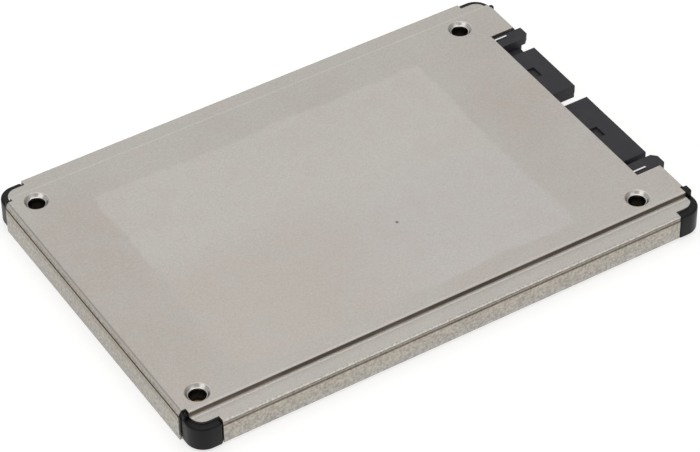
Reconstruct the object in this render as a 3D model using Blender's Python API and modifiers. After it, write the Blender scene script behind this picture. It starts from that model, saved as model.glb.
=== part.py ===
"""Cased 1.8-inch solid state drive with a micro-SATA plug. Metres, +Z up.

The case frame of reference has X along the drive, the plug at +X, and Z up from the case's
underside. Everything hangs on one empty, which sets the middle of the whole object over the
world's origin, because the plug's ears stand proud of the case.
"""

import math

import bmesh
import bpy
from mathutils import Matrix

# Case
CASE_LENGTH = 0.0785
CASE_WIDTH = 0.054
CASE_HEIGHT = 0.005
SHEET = 0.0003
HALF_LENGTH = CASE_LENGTH / 2
HALF_WIDTH = CASE_WIDTH / 2

# Stamped form of both covers
FIELD_HALF_WIDTH = 0.02395
TOP_FLANGE_DROP = 0.0007
BASE_FLANGE_DROP = 0.00045
END_ROLL = 0.0005
STEP_ROLL = 0.0002
RAIL_ROLL = 0.00035
LONG_SEAM_LOW = 0.0033
LONG_SEAM_HIGH = 0.00342
SHORT_SEAM_LOW = 0.00368
SHORT_SEAM_HIGH = 0.0038
COVER_SET_BACK = 0.00008
RAIL_INNER_ROLL = 0.00009

# Corners, as one quadrant that is mirrored to the others
CORNER_SHIFT = 0.00025
WALL_END_X = 0.0352
WALL_END_Y = 0.0232
EAR_OUT = 0.0259
EAR_END = 0.0383
EAR_RADIUS = 0.0017
CORNER_RADIUS = 0.0025
CORNER_START_X = 0.0354
CORNER_START_Y = 0.02325
TOOTH_END_Y = 0.0242
TOOTH_INNER_X = 0.03825
TOOTH_LOW = 0.00035
CORNER_LOW = 0.00045
CORNER_HIGH = 0.0040
CORNER_ROLL = 0.0002
POCKET_SINK = 0.00003
TOOTH_ROLL = 0.00018

# Screw dimples
DIMPLE_X = (-0.03545, 0.03227)
DIMPLE_Y = 0.02143
DIMPLE_RADIUS = 0.00165
HOLE_RADIUS = 0.00125
DIMPLE_DEPTH = 0.00052
DIMPLE_WALL = 0.0002
DIMPLE_LIP = 0.00009

# Notch for the plug
NOTCH_X = 0.0350
NOTCH_LOW_Y = -0.01766
NOTCH_HIGH_Y = 0.0176

# Plug
PLUG_TOP = 0.00475
PLUG_BODY_BACK = 0.0312
PLUG_BODY_FRONT = 0.0348
PLUG_BODY_TOP = 0.00462
PLUG_BODY_LOW = 0.00275
APRON_LOW = 0.0004
TONGUE_FRONT = 0.03897
TONGUE_THICKNESS = 0.0013
TONGUE_ROLL = 0.00008
KEY_DEPTH = 0.00215
KEY_WIDTH = 0.0012
SIGNAL_TONGUE = (0.00261, 0.0126)
POWER_TONGUE = (-0.01415, -0.00023)
EAR_INNER_Y = 0.0150
EAR_OUTER_Y = 0.0173
EAR_TIP_X = 0.03982
EAR_STEP_X = 0.0383
EAR_TIP_THICKNESS = 0.0011
EAR_CHAMFER = 0.0007
EAR_TIP_INNER_RADIUS = 0.0001
EAR_TIP_OUTER_RADIUS = 0.00015
EAR_BOTTOM = 0.0026
RECESS_FLOOR = 0.00325
NEAR_SLOT_FLOOR = 0.00285
NEAR_SLOT_FRONT = 0.0373
POCKET_DEPTH = 0.0004
POCKET_FRONT = 0.0364
POCKET_WIDTH = 0.0021
POCKET_STARTS = (0.0069, -0.0083)
NAIL_Y = 0.01672
NAIL_THICKNESS = 0.00024
NAIL_BACK = 0.0330
NAIL_FRONT = 0.03705
NAIL_LOW = 0.00275
NAIL_FRONT_LOW = 0.00355
NAIL_HIGH = 0.0049

# Contacts
PITCH = 0.00127
SIGNAL_COUNT = 7
POWER_COUNT = 9
POWER_KEY_AFTER = 7
CONTACT_WIDTH = 0.00062
CONTACT_THICKNESS = 0.00014
CONTACT_HIGH = 0.00352
CONTACT_FRONT = 0.0386
CONTACT_BEND_FRONT = 0.0308
CONTACT_BEND_BACK = 0.0302
CONTACT_BACK = 0.0291
CONTACT_GAP = 0.00004
CONTACT_SHIFT = 0.00036

# Circuit board
BOARD_LOW = 0.0019
BOARD_HIGH = 0.0027
BOARD_BACK = -0.0370
BOARD_FRONT = 0.0343
BOARD_HALF_WIDTH = 0.0252
BOARD_NECK_HALF_WIDTH = 0.0180
BOARD_WIDE = (-0.0318, 0.0286)
BOARD_CORNER = 0.0008
SEAT = 0.00004
CARRIER_SHARE = 0.25
CAP_INSET_SHARE = 0.03
COMPONENT_ROLL = 0.00006

# What the board carries: places are x, y, and sizes are along x, y and z
FLASH_X = (-0.0285, -0.0135, 0.0015)
FLASH_Y = 0.0093
FLASH_SIZE = (0.0120, 0.0160, 0.0011)
CONTROLLER_PLACE = (0.0180, 0.0090)
CONTROLLER_SIZE = (0.0140, 0.0140, 0.0010)
MEMORY_PLACE = (0.0160, -0.0085)
MEMORY_SIZE = (0.0100, 0.0130, 0.0010)
REGULATOR_PLACE = (0.0250, -0.0040)
REGULATOR_SIZE = (0.0030, 0.0030, 0.0009)
INDUCTOR_PLACE = (0.0120, -0.0175)
INDUCTOR_SIZE = (0.0040, 0.0032, 0.0012)
INDUCTOR_PITCH = 0.0045
CAPACITOR_COUNT = 6
CAPACITOR_PLACE = (0.0250, -0.0080)
CAPACITOR_SIZE = (0.0020, 0.00125, 0.0008)
CAPACITOR_PITCH = 0.0022
CRYSTAL_PLACE = (0.0180, 0.0200)
CRYSTAL_SIZE = (0.0032, 0.0025, 0.0007)
PAD_WIDTH = 0.0110
FILM_HALF_LENGTH = 0.0330
FILM_FRONT = 0.0300
FILM_HALF_WIDTH = 0.0175
FILM_CORNER = 0.0010
FILM_THICKNESS = 0.00012

# Frame
FRAME_OUT_X = 0.03885
FRAME_OUT_Y = 0.0262
FRAME_IN_X = 0.0375
FRAME_IN_Y = 0.0256
SHELF_IN_X = 0.0365
SHELF_IN_Y = 0.0246
FRAME_LOW = 0.0008
FRAME_HIGH = 0.00395
FRAME_PLUG_GAP = 0.0179
BOSS_RADIUS = 0.0024
BOSS_HOLE_RADIUS = 0.0016
BOSS_MOUTH_RADIUS = 0.001
BOSS_WEB_INSET = 0.0003
BOSS_LOW = 0.0009
BOSS_HIGH = 0.0041
INSERT_RADIUS = 0.00156
INSERT_BORE = 0.0009
INSERT_LOW = 0.0011
INSERT_HIGH = 0.0025
INSERT_GROOVE = 0.00012

# Making the shapes: joined shapes reach OVERLAP into each other, cutters run BEYOND the surface,
# and HAIR keeps two faces out of one plane
THIN_BODIES = ("top_cover", "base_tray", "corner_frame")
FIT_GAP = 0.00005
OVERLAP = 0.0002
BEYOND = 0.001
HAIR = 0.00004
WELD = 1e-7
ON_RIM = 0.00001
TURN_STEPS = 32
ARC_STEPS = 6
SHARP_ANGLE = math.radians(35)
FLAT_ANGLE = math.radians(0.5)

COLOURS = {
    "nickel_sheet": ((0.43, 0.41, 0.38), 0.42, 1.0),
    "black_plastic": ((0.022, 0.021, 0.025), 0.55, 0.0),
    "plug_plastic": ((0.035, 0.033, 0.038), 0.6, 0.0),
    "gold_plate": ((0.83, 0.62, 0.28), 0.25, 1.0),
    "tinned_steel": ((0.75, 0.74, 0.72), 0.3, 1.0),
    "board_laminate": ((0.02, 0.12, 0.05), 0.45, 0.0),
    "package_epoxy": ((0.03, 0.03, 0.032), 0.5, 0.0),
    "thermal_pad": ((0.45, 0.5, 0.56), 0.8, 0.0),
    "insulating_film": ((0.6, 0.5, 0.25), 0.35, 0.0),
    "brass": ((0.6, 0.42, 0.18), 0.3, 1.0),
    "ferrite": ((0.08, 0.08, 0.085), 0.7, 0.0),
    "ceramic": ((0.5, 0.38, 0.26), 0.5, 0.0),
}


def collection_named(name):
    made = bpy.data.collections.new(name)
    bpy.context.scene.collection.children.link(made)
    return made


def material_named(name):
    if name in bpy.data.materials:
        return bpy.data.materials[name]
    colour, roughness, metallic = COLOURS[name]
    made = bpy.data.materials.new(name)
    made.use_nodes = True
    shader = made.node_tree.nodes["Principled BSDF"]
    shader.inputs["Base Color"].default_value = (*colour, 1.0)
    shader.inputs["Roughness"].default_value = roughness
    shader.inputs["Metallic"].default_value = metallic
    made.diffuse_color = (*colour, 1.0)
    return made


for old in list(bpy.data.objects):
    bpy.data.objects.remove(old, do_unlink=True)
DRIVE = collection_named("solid_state_drive")
CUTTERS = collection_named("cutters")
CUTTERS.hide_render = True
CASE = bpy.data.objects.new("case_middle", None)
CASE.location.x = -(EAR_TIP_X - HALF_LENGTH) / 2
DRIVE.objects.link(CASE)


def put(mesh, name, material=None):
    """A part of the drive when it has a material, and otherwise a shape to cut or join with."""
    thing = bpy.data.objects.new(name, mesh)
    thing.parent = CASE
    if material:
        DRIVE.objects.link(thing)
        mesh.materials.clear()
        mesh.materials.append(material_named(material))
        mesh.shade_smooth()
        mesh.set_sharp_from_angle(angle=SHARP_ANGLE)
    else:
        CUTTERS.objects.link(thing)
        thing.hide_render = True
        thing.display_type = "WIRE"
    return thing


def combine(base, operation, *tools):
    """Live Booleans on base, one for each tool.

    The exact solver loses the thin folded sheets and the frame where faces lie in one plane, so
    those two kinds of body use the manifold solver.
    """
    for tool in tools:
        step = base.modifiers.new(f"{operation.lower()}_{tool.name}", "BOOLEAN")
        step.operation = operation
        step.object = tool
        step.solver = "MANIFOLD" if base.name in THIN_BODIES else "EXACT"
    return base


def join(base, *tools):
    return combine(base, "UNION", *tools)


def cut(base, *tools):
    return combine(base, "DIFFERENCE", *tools)


def rounded(corners):
    """Points of an outline whose corners are (a, b, radius), with each radius as an arc."""
    points = []
    for index, (a, b, radius) in enumerate(corners):
        if radius == 0:
            points.append((a, b))
            continue
        before = corners[index - 1]
        after = corners[(index + 1) % len(corners)]
        to_before = math.atan2(before[1] - b, before[0] - a)
        to_after = math.atan2(after[1] - b, after[0] - a)
        turn = (to_after - to_before + math.pi) % (2 * math.pi) - math.pi
        half = abs(turn) / 2
        to_centre = to_before + turn / 2
        centre_a = a + radius / math.sin(half) * math.cos(to_centre)
        centre_b = b + radius / math.sin(half) * math.sin(to_centre)
        sweep = math.copysign(math.pi - 2 * half, turn)
        start = to_before + math.copysign(math.pi / 2, -turn)
        for step in range(ARC_STEPS + 1):
            angle = start - sweep * step / ARC_STEPS
            points.append((centre_a + radius * math.cos(angle), centre_b + radius * math.sin(angle)))
    return points


def axes_matrix(axis):
    """Turns a flat outline's own (a, b, depth) into the case's x, y and z."""
    if axis == "Z":
        return Matrix.Identity(4)
    if axis == "X":
        return Matrix(((0, 0, 1, 0), (1, 0, 0, 0), (0, 1, 0, 0), (0, 0, 0, 1)))
    return Matrix(((1, 0, 0, 0), (0, 0, 1, 0), (0, 1, 0, 0), (0, 0, 0, 1)))


def prism(name, outline, low, high, axis="Z", material=None):
    """A flat outline given depth from low to high along an axis, as one welded mesh."""
    flat = bpy.data.curves.new(name + "_outline", "CURVE")
    flat.dimensions = "2D"
    flat.fill_mode = "BOTH"
    flat.extrude = (high - low) / 2
    line = flat.splines.new("POLY")
    line.points.add(len(outline) - 1)
    for point, (a, b) in zip(line.points, outline):
        point.co = (a, b, 0, 1)
    line.use_cyclic_u = True
    guide = bpy.data.objects.new(name + "_outline", flat)
    CUTTERS.objects.link(guide)
    graph = bpy.context.evaluated_depsgraph_get()
    mesh = bpy.data.meshes.new_from_object(guide.evaluated_get(graph))
    bpy.data.objects.remove(guide, do_unlink=True)
    bpy.data.curves.remove(flat)
    mesh.name = name
    mesh.transform(axes_matrix(axis) @ Matrix.Translation((0, 0, (low + high) / 2)))
    body = bmesh.new()
    body.from_mesh(mesh)
    bmesh.ops.remove_doubles(body, verts=body.verts, dist=WELD)
    bmesh.ops.dissolve_limit(
        body, angle_limit=FLAT_ANGLE, verts=body.verts, edges=body.edges, delimit=set()
    )
    bmesh.ops.recalc_face_normals(body, faces=body.faces)
    body.to_mesh(mesh)
    body.free()
    return put(mesh, name, material)


def block(name, x, y, z, material=None, roll=0.0, roll_all=False):
    """A box from its low and high x, y and z, with its uppermost or all its edges rolled."""
    body = bmesh.new()
    bmesh.ops.create_cube(body, size=1.0)
    size = Matrix.Diagonal((x[1] - x[0], y[1] - y[0], z[1] - z[0], 1))
    middle = Matrix.Translation(((x[0] + x[1]) / 2, (y[0] + y[1]) / 2, (z[0] + z[1]) / 2))
    bmesh.ops.transform(body, matrix=middle @ size, verts=body.verts)
    if roll:
        edges = [
            edge
            for edge in body.edges
            if roll_all or all(vert.co.z > z[1] - WELD for vert in edge.verts)
        ]
        bmesh.ops.bevel(body, geom=edges, offset=roll, segments=2, profile=0.5, affect="EDGES")
    mesh = bpy.data.meshes.new(name)
    body.to_mesh(mesh)
    body.free()
    return put(mesh, name, material)


def turned(name, profile, centre, material=None):
    """A profile of (radius, height), read down its outer side, turned about the vertical."""
    mesh = bpy.data.meshes.new(name)
    count = len(profile)
    closed = profile[0][0] > WELD
    edges = [(i, i + 1) for i in range(count - 1)]
    if closed:
        edges.append((count - 1, 0))
    mesh.from_pydata([(radius, 0, height) for radius, height in profile], edges, [])
    thing = bpy.data.objects.new(name + "_profile", mesh)
    CUTTERS.objects.link(thing)
    screw = thing.modifiers.new("turn", "SCREW")
    screw.steps = TURN_STEPS
    screw.render_steps = TURN_STEPS
    screw.use_merge_vertices = True
    screw.merge_threshold = WELD
    graph = bpy.context.evaluated_depsgraph_get()
    turned_mesh = bpy.data.meshes.new_from_object(thing.evaluated_get(graph))
    bpy.data.objects.remove(thing, do_unlink=True)
    bpy.data.meshes.remove(mesh)
    turned_mesh.name = name
    body = bmesh.new()
    body.from_mesh(turned_mesh)
    bmesh.ops.remove_doubles(body, verts=body.verts, dist=WELD)
    bmesh.ops.recalc_face_normals(body, faces=body.faces)
    bmesh.ops.translate(body, verts=body.verts, vec=(centre[0], centre[1], 0))
    body.to_mesh(turned_mesh)
    body.free()
    return put(turned_mesh, name, material)


def flip_height(*things):
    """Turns shapes made from the base upwards into shapes made from the top downwards."""
    flip = Matrix.Translation((0, 0, CASE_HEIGHT)) @ Matrix.Diagonal((1, 1, -1, 1))
    for thing in things:
        thing.data.transform(flip)
        thing.data.flip_normals()


def field_shell(name, length, half_width, low, high, end_roll, step_roll, material=None):
    """The raised field as a solid block, made face down: its lowest level edges are rolled."""
    body = bmesh.new()
    bmesh.ops.create_cube(body, size=1.0)
    size = Matrix.Diagonal((2 * length, 2 * half_width, high - low, 1))
    bmesh.ops.transform(
        body, matrix=Matrix.Translation((0, 0, (low + high) / 2)) @ size, verts=body.verts
    )
    ends = [
        edge
        for edge in body.edges
        if all(vert.co.z < low + WELD for vert in edge.verts)
        and abs(edge.verts[0].co.x - edge.verts[1].co.x) < WELD
    ]
    bmesh.ops.bevel(body, geom=ends, offset=end_roll, segments=4, profile=0.5, affect="EDGES")
    if step_roll:
        sides = [
            edge
            for edge in body.edges
            if all(abs(abs(vert.co.y) - half_width) < WELD for vert in edge.verts)
            and all(vert.co.z < low + WELD for vert in edge.verts)
        ]
        bmesh.ops.bevel(body, geom=sides, offset=step_roll, segments=3, profile=0.5, affect="EDGES")
    mesh = bpy.data.meshes.new(name)
    body.to_mesh(mesh)
    body.free()
    return put(mesh, name, material)


def ear_corners(out_x, out_y, start_x, start_y):
    """The corner ear's outline in the quadrant of +X and +Y, from the long side to the short."""
    return rounded(
        [(start_x, out_y, 0), (out_x, out_y, EAR_RADIUS), (out_x, start_y, 0), (start_x, start_y, 0)]
    )


def mirrored(points, sign_x, sign_y):
    return [(sign_x * x, sign_y * y) for x, y in points]


def shifted(points):
    """The frame, the ears and the long walls stand a little nearer the plug than the covers do."""
    return [(x + CORNER_SHIFT, y) for x, y in points]


def flange_outline(side):
    """The flat of one long flange with its two corner ears."""
    inner = FIELD_HALF_WIDTH - SHEET / 2
    edge = HALF_WIDTH - RAIL_ROLL
    corners = [
        (-EAR_END, inner, 0),
        (EAR_END, inner, 0),
        (EAR_END, EAR_OUT, EAR_RADIUS),
        (WALL_END_X, EAR_OUT, 0),
        (WALL_END_X, edge, 0),
        (-WALL_END_X, edge, 0),
        (-WALL_END_X, EAR_OUT, 0),
        (-EAR_END, EAR_OUT, EAR_RADIUS),
    ]
    return shifted(mirrored(rounded(corners), 1, side))


def rail_outline(side, flange_drop, wall_end, set_back):
    """Section of one long edge: the flange rolls over into the side wall."""
    outer = HALF_WIDTH - set_back
    inner = outer - SHEET
    start = HALF_WIDTH - 2 * RAIL_ROLL
    corners = [
        (start, flange_drop, 0),
        (outer, flange_drop, RAIL_ROLL),
        (outer, wall_end, 0),
        (inner, wall_end, 0),
        (inner, flange_drop + SHEET, RAIL_INNER_ROLL),
        (start, flange_drop + SHEET, 0),
    ]
    return mirrored(rounded(corners), side, 1)


def dimple_tools(name, x, y):
    """The drawn cone that joins a sheet's inside, and the opening that goes through it."""
    cone = turned(
        name + "_cone",
        [
            (0, SHEET / 2),
            (DIMPLE_RADIUS + DIMPLE_WALL / 2, SHEET / 2),
            (DIMPLE_RADIUS + DIMPLE_WALL / 2, SHEET + HAIR),
            (HOLE_RADIUS + DIMPLE_WALL, DIMPLE_DEPTH + DIMPLE_WALL),
            (0, DIMPLE_DEPTH + DIMPLE_WALL),
        ][::-1],
        (x, y),
    )
    opening = turned(
        name + "_opening",
        [
            (0, -BEYOND),
            (DIMPLE_RADIUS, -BEYOND),
            (DIMPLE_RADIUS, 0),
            (DIMPLE_RADIUS - DIMPLE_LIP, DIMPLE_LIP / 2),
            (DIMPLE_RADIUS - 2 * DIMPLE_LIP, 2 * DIMPLE_LIP),
            (HOLE_RADIUS + DIMPLE_LIP, DIMPLE_DEPTH - DIMPLE_LIP),
            (HOLE_RADIUS, DIMPLE_DEPTH),
            (HOLE_RADIUS, DIMPLE_DEPTH + BEYOND),
            (0, DIMPLE_DEPTH + BEYOND),
        ][::-1],
        (x, y),
    )
    return cone, opening


def stamped_cover(name, flange_drop, wall_end, end_wall_end, set_back):
    """One cover, made face down: a field, two flanges with ears, walls, dimples and a notch."""
    length = HALF_LENGTH - set_back
    shell = field_shell(
        name, length, FIELD_HALF_WIDTH, 0, end_wall_end, END_ROLL, STEP_ROLL, "nickel_sheet"
    )
    hollow = field_shell(
        name + "_hollow",
        length - SHEET,
        FIELD_HALF_WIDTH - SHEET,
        SHEET,
        end_wall_end + BEYOND,
        END_ROLL - SHEET,
        0,
    )
    made = [hollow]
    cut(shell, hollow)
    for side in (1, -1):
        tag = "far" if side > 0 else "near"
        clear = block(
            f"{name}_clear_{tag}",
            (-HALF_LENGTH - BEYOND, HALF_LENGTH + BEYOND),
            sorted((side * (FIELD_HALF_WIDTH - 1.5 * SHEET), side * (FIELD_HALF_WIDTH + BEYOND))),
            (flange_drop + SHEET / 2, end_wall_end + 2 * BEYOND),
        )
        cut(shell, clear)
        flange = prism(
            f"{name}_flange_{tag}", flange_outline(side), flange_drop, flange_drop + SHEET
        )
        rail = prism(
            f"{name}_rail_{tag}",
            rail_outline(side, flange_drop, wall_end, set_back),
            CORNER_SHIFT - WALL_END_X,
            CORNER_SHIFT + WALL_END_X,
            "X",
        )
        join(shell, flange, rail)
        made += [clear, flange, rail]
    for sign_x in (1, -1):
        for sign_y in (1, -1):
            tooth_gap = block(
                f"{name}_tooth_gap_{sign_x}_{sign_y}",
                sorted(
                    (
                        sign_x * (TOOTH_INNER_X - FIT_GAP) + CORNER_SHIFT,
                        sign_x * (HALF_LENGTH + BEYOND),
                    )
                ),
                sorted((sign_y * WALL_END_Y, sign_y * (TOOTH_END_Y + FIT_GAP))),
                (-BEYOND, end_wall_end + BEYOND),
            )
            cut(shell, tooth_gap)
            made.append(tooth_gap)
    notch = block(
        name + "_notch",
        (NOTCH_X, HALF_LENGTH + BEYOND),
        (NOTCH_LOW_Y, NOTCH_HIGH_Y),
        (-BEYOND, end_wall_end + BEYOND),
    )
    cut(shell, notch)
    made.append(notch)
    for number, x in enumerate(DIMPLE_X):
        for y in (-DIMPLE_Y, DIMPLE_Y):
            cone, opening = dimple_tools(f"{name}_dimple_{number}_{'far' if y > 0 else 'near'}", x, y)
            join(shell, cone)
            cut(shell, opening)
            made += [cone, opening]
    return shell, made


def top_cover():
    shell, made = stamped_cover(
        "top_cover",
        TOP_FLANGE_DROP,
        CASE_HEIGHT - LONG_SEAM_HIGH,
        CASE_HEIGHT - SHORT_SEAM_HIGH,
        COVER_SET_BACK,
    )
    flip_height(shell, *made)


def base_tray():
    stamped_cover("base_tray", BASE_FLANGE_DROP, LONG_SEAM_LOW, SHORT_SEAM_LOW, 0.0)


def corner_frame():
    """The black moulding: a ring whose shelf carries the board, four corners and four bosses."""
    ring = prism(
        "corner_frame",
        rounded(
            [
                (sign_x * FRAME_OUT_X, sign_y * FRAME_OUT_Y, CORNER_RADIUS)
                for sign_x, sign_y in ((-1, -1), (1, -1), (1, 1), (-1, 1))
            ]
        ),
        FRAME_LOW,
        FRAME_HIGH,
        material="black_plastic",
    )
    inside = block(
        "frame_inside",
        (-FRAME_IN_X, FRAME_IN_X),
        (-FRAME_IN_Y, FRAME_IN_Y),
        (BOARD_LOW - SEAT, FRAME_HIGH + BEYOND),
    )
    below_shelf = block(
        "frame_below_shelf",
        (-SHELF_IN_X, SHELF_IN_X),
        (-SHELF_IN_Y, SHELF_IN_Y),
        (FRAME_LOW - BEYOND, FRAME_HIGH),
    )
    plug_gap = block(
        "frame_plug_gap",
        (SHELF_IN_X - BEYOND, FRAME_OUT_X + BEYOND),
        (-FRAME_PLUG_GAP, FRAME_PLUG_GAP),
        (FRAME_LOW - BEYOND, FRAME_HIGH + BEYOND),
    )
    cut(ring, inside, below_shelf, plug_gap)
    for sign_x in (1, -1):
        for sign_y in (1, -1):
            add_corner(ring, sign_x, sign_y)
    for number, x in enumerate(DIMPLE_X):
        for sign_y in (1, -1):
            add_boss(ring, number, x, sign_y)


def add_corner(ring, sign_x, sign_y):
    """One corner block, with a pocket above and below for the covers' ears, and a tall tooth."""
    tag = f"{sign_x}_{sign_y}"
    inner_x = FRAME_IN_X - OVERLAP
    inner_y = FRAME_IN_Y - OVERLAP
    outline = rounded(
        [
            (CORNER_START_X, HALF_WIDTH, 0),
            (HALF_LENGTH, HALF_WIDTH, CORNER_RADIUS),
            (HALF_LENGTH, CORNER_START_Y, 0),
            (inner_x, CORNER_START_Y, 0),
            (inner_x, inner_y, 0),
            (CORNER_START_X, inner_y, 0),
        ]
    )
    corner = prism(
        f"corner_{tag}", shifted(mirrored(outline, sign_x, sign_y)), CORNER_LOW, CORNER_HIGH
    )
    roll_rim(corner)
    join(ring, corner)
    pocket_outline = ear_corners(
        EAR_END + FIT_GAP, EAR_OUT + FIT_GAP, CORNER_START_X - BEYOND, inner_y - 3 * BEYOND
    )
    for low, high, level in (
        (FRAME_HIGH - POCKET_SINK, CASE_HEIGHT + BEYOND, "top"),
        (-BEYOND, FRAME_LOW + POCKET_SINK, "base"),
    ):
        pocket = prism(
            f"ear_pocket_{level}_{tag}",
            shifted(mirrored(pocket_outline, sign_x, sign_y)),
            low,
            high,
        )
        cut(ring, pocket)
    tooth = block(
        f"tooth_{tag}",
        sorted(
            (sign_x * TOOTH_INNER_X + CORNER_SHIFT, sign_x * (HALF_LENGTH - HAIR) + CORNER_SHIFT)
        ),
        sorted((sign_y * (CORNER_START_Y + HAIR), sign_y * TOOTH_END_Y)),
        (TOOTH_LOW, CASE_HEIGHT - TOOTH_LOW),
        roll=TOOTH_ROLL,
        roll_all=True,
    )
    join(ring, tooth)


def on_rim(place):
    """Whether a point of a corner block lies on its outer side."""
    x = abs(place.x - CORNER_SHIFT)
    y = abs(place.y)
    centre_x = HALF_LENGTH - CORNER_RADIUS
    centre_y = HALF_WIDTH - CORNER_RADIUS
    if x > centre_x and y > centre_y:
        return math.hypot(x - centre_x, y - centre_y) > CORNER_RADIUS - ON_RIM
    return x > HALF_LENGTH - ON_RIM or y > HALF_WIDTH - ON_RIM


def roll_rim(corner):
    """Rolls the outer edges of a corner block, above and below."""
    body = bmesh.new()
    body.from_mesh(corner.data)
    edges = [
        edge
        for edge in body.edges
        if abs(edge.verts[0].co.z - edge.verts[1].co.z) < WELD
        and all(on_rim(vert.co) for vert in edge.verts)
    ]
    bmesh.ops.bevel(body, geom=edges, offset=CORNER_ROLL, segments=2, profile=0.5, affect="EDGES")
    body.to_mesh(corner.data)
    body.free()


def add_boss(ring, number, x, sign_y):
    """A boss under one dimple, its web to the ring, and its bore, which narrows above the insert."""
    tag = f"{number}_{'far' if sign_y > 0 else 'near'}"
    boss = turned(
        f"boss_{tag}",
        [(0, BOSS_LOW), (BOSS_RADIUS, BOSS_LOW), (BOSS_RADIUS, BOSS_HIGH), (0, BOSS_HIGH)][::-1],
        (x, sign_y * DIMPLE_Y),
    )
    web = block(
        f"boss_web_{tag}",
        (x - BOSS_RADIUS / 2, x + BOSS_RADIUS / 2),
        sorted((sign_y * DIMPLE_Y, sign_y * (FRAME_IN_Y + OVERLAP))),
        (BOSS_LOW + BOSS_WEB_INSET, BOSS_HIGH - BOSS_WEB_INSET),
    )
    bore = turned(
        f"boss_bore_{tag}",
        [
            (0, -BEYOND),
            (BOSS_HOLE_RADIUS, -BEYOND),
            (BOSS_HOLE_RADIUS, INSERT_HIGH + FIT_GAP),
            (BOSS_MOUTH_RADIUS, INSERT_HIGH + FIT_GAP),
            (BOSS_MOUTH_RADIUS, CASE_HEIGHT + BEYOND),
            (0, CASE_HEIGHT + BEYOND),
        ][::-1],
        (x, sign_y * DIMPLE_Y),
    )
    join(ring, boss, web)
    cut(ring, bore)


def threaded_inserts():
    middle = (INSERT_LOW + INSERT_HIGH) / 2
    for number, (x, sign_y) in enumerate(
        [(x, sign_y) for x in DIMPLE_X for sign_y in (-1, 1)], start=1
    ):
        turned(
            f"threaded_insert_{number}",
            [
                (INSERT_BORE, INSERT_HIGH),
                (INSERT_RADIUS, INSERT_HIGH),
                (INSERT_RADIUS, middle + INSERT_GROOVE),
                (INSERT_RADIUS - INSERT_GROOVE, middle + INSERT_GROOVE),
                (INSERT_RADIUS - INSERT_GROOVE, middle - INSERT_GROOVE),
                (INSERT_RADIUS, middle - INSERT_GROOVE),
                (INSERT_RADIUS, INSERT_LOW),
                (INSERT_BORE, INSERT_LOW),
            ],
            (x, sign_y * DIMPLE_Y),
            "brass",
        )


def ear_outline(sign_y):
    """Plan of one guide ear, with its tip chamfered on the inside as a lead-in."""
    corners = [
        (PLUG_BODY_BACK + OVERLAP, EAR_INNER_Y, 0),
        (EAR_TIP_X - EAR_CHAMFER, EAR_INNER_Y, EAR_TIP_INNER_RADIUS),
        (EAR_TIP_X, EAR_INNER_Y + EAR_CHAMFER, EAR_TIP_INNER_RADIUS),
        (EAR_TIP_X, EAR_OUTER_Y, EAR_TIP_OUTER_RADIUS),
        (PLUG_BODY_BACK + OVERLAP, EAR_OUTER_Y, 0),
    ]
    return mirrored(rounded(corners), 1, sign_y)


def contact_places():
    """Names and y places of all contacts, numbered from the signal tongue's far end."""
    middle = sum(SIGNAL_TONGUE) / 2 + CONTACT_SHIFT
    start = middle + PITCH * (SIGNAL_COUNT - 1) / 2
    places = [(f"signal_contact_{n + 1}", start - PITCH * n) for n in range(SIGNAL_COUNT)]
    slots = POWER_COUNT + 1
    middle = sum(POWER_TONGUE) / 2 + CONTACT_SHIFT
    start = middle + PITCH * (slots - 1) / 2
    rows = [n for n in range(slots) if n != POWER_KEY_AFTER]
    places += [(f"power_contact_{i + 1}", start - PITCH * n) for i, n in enumerate(rows)]
    return places


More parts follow.
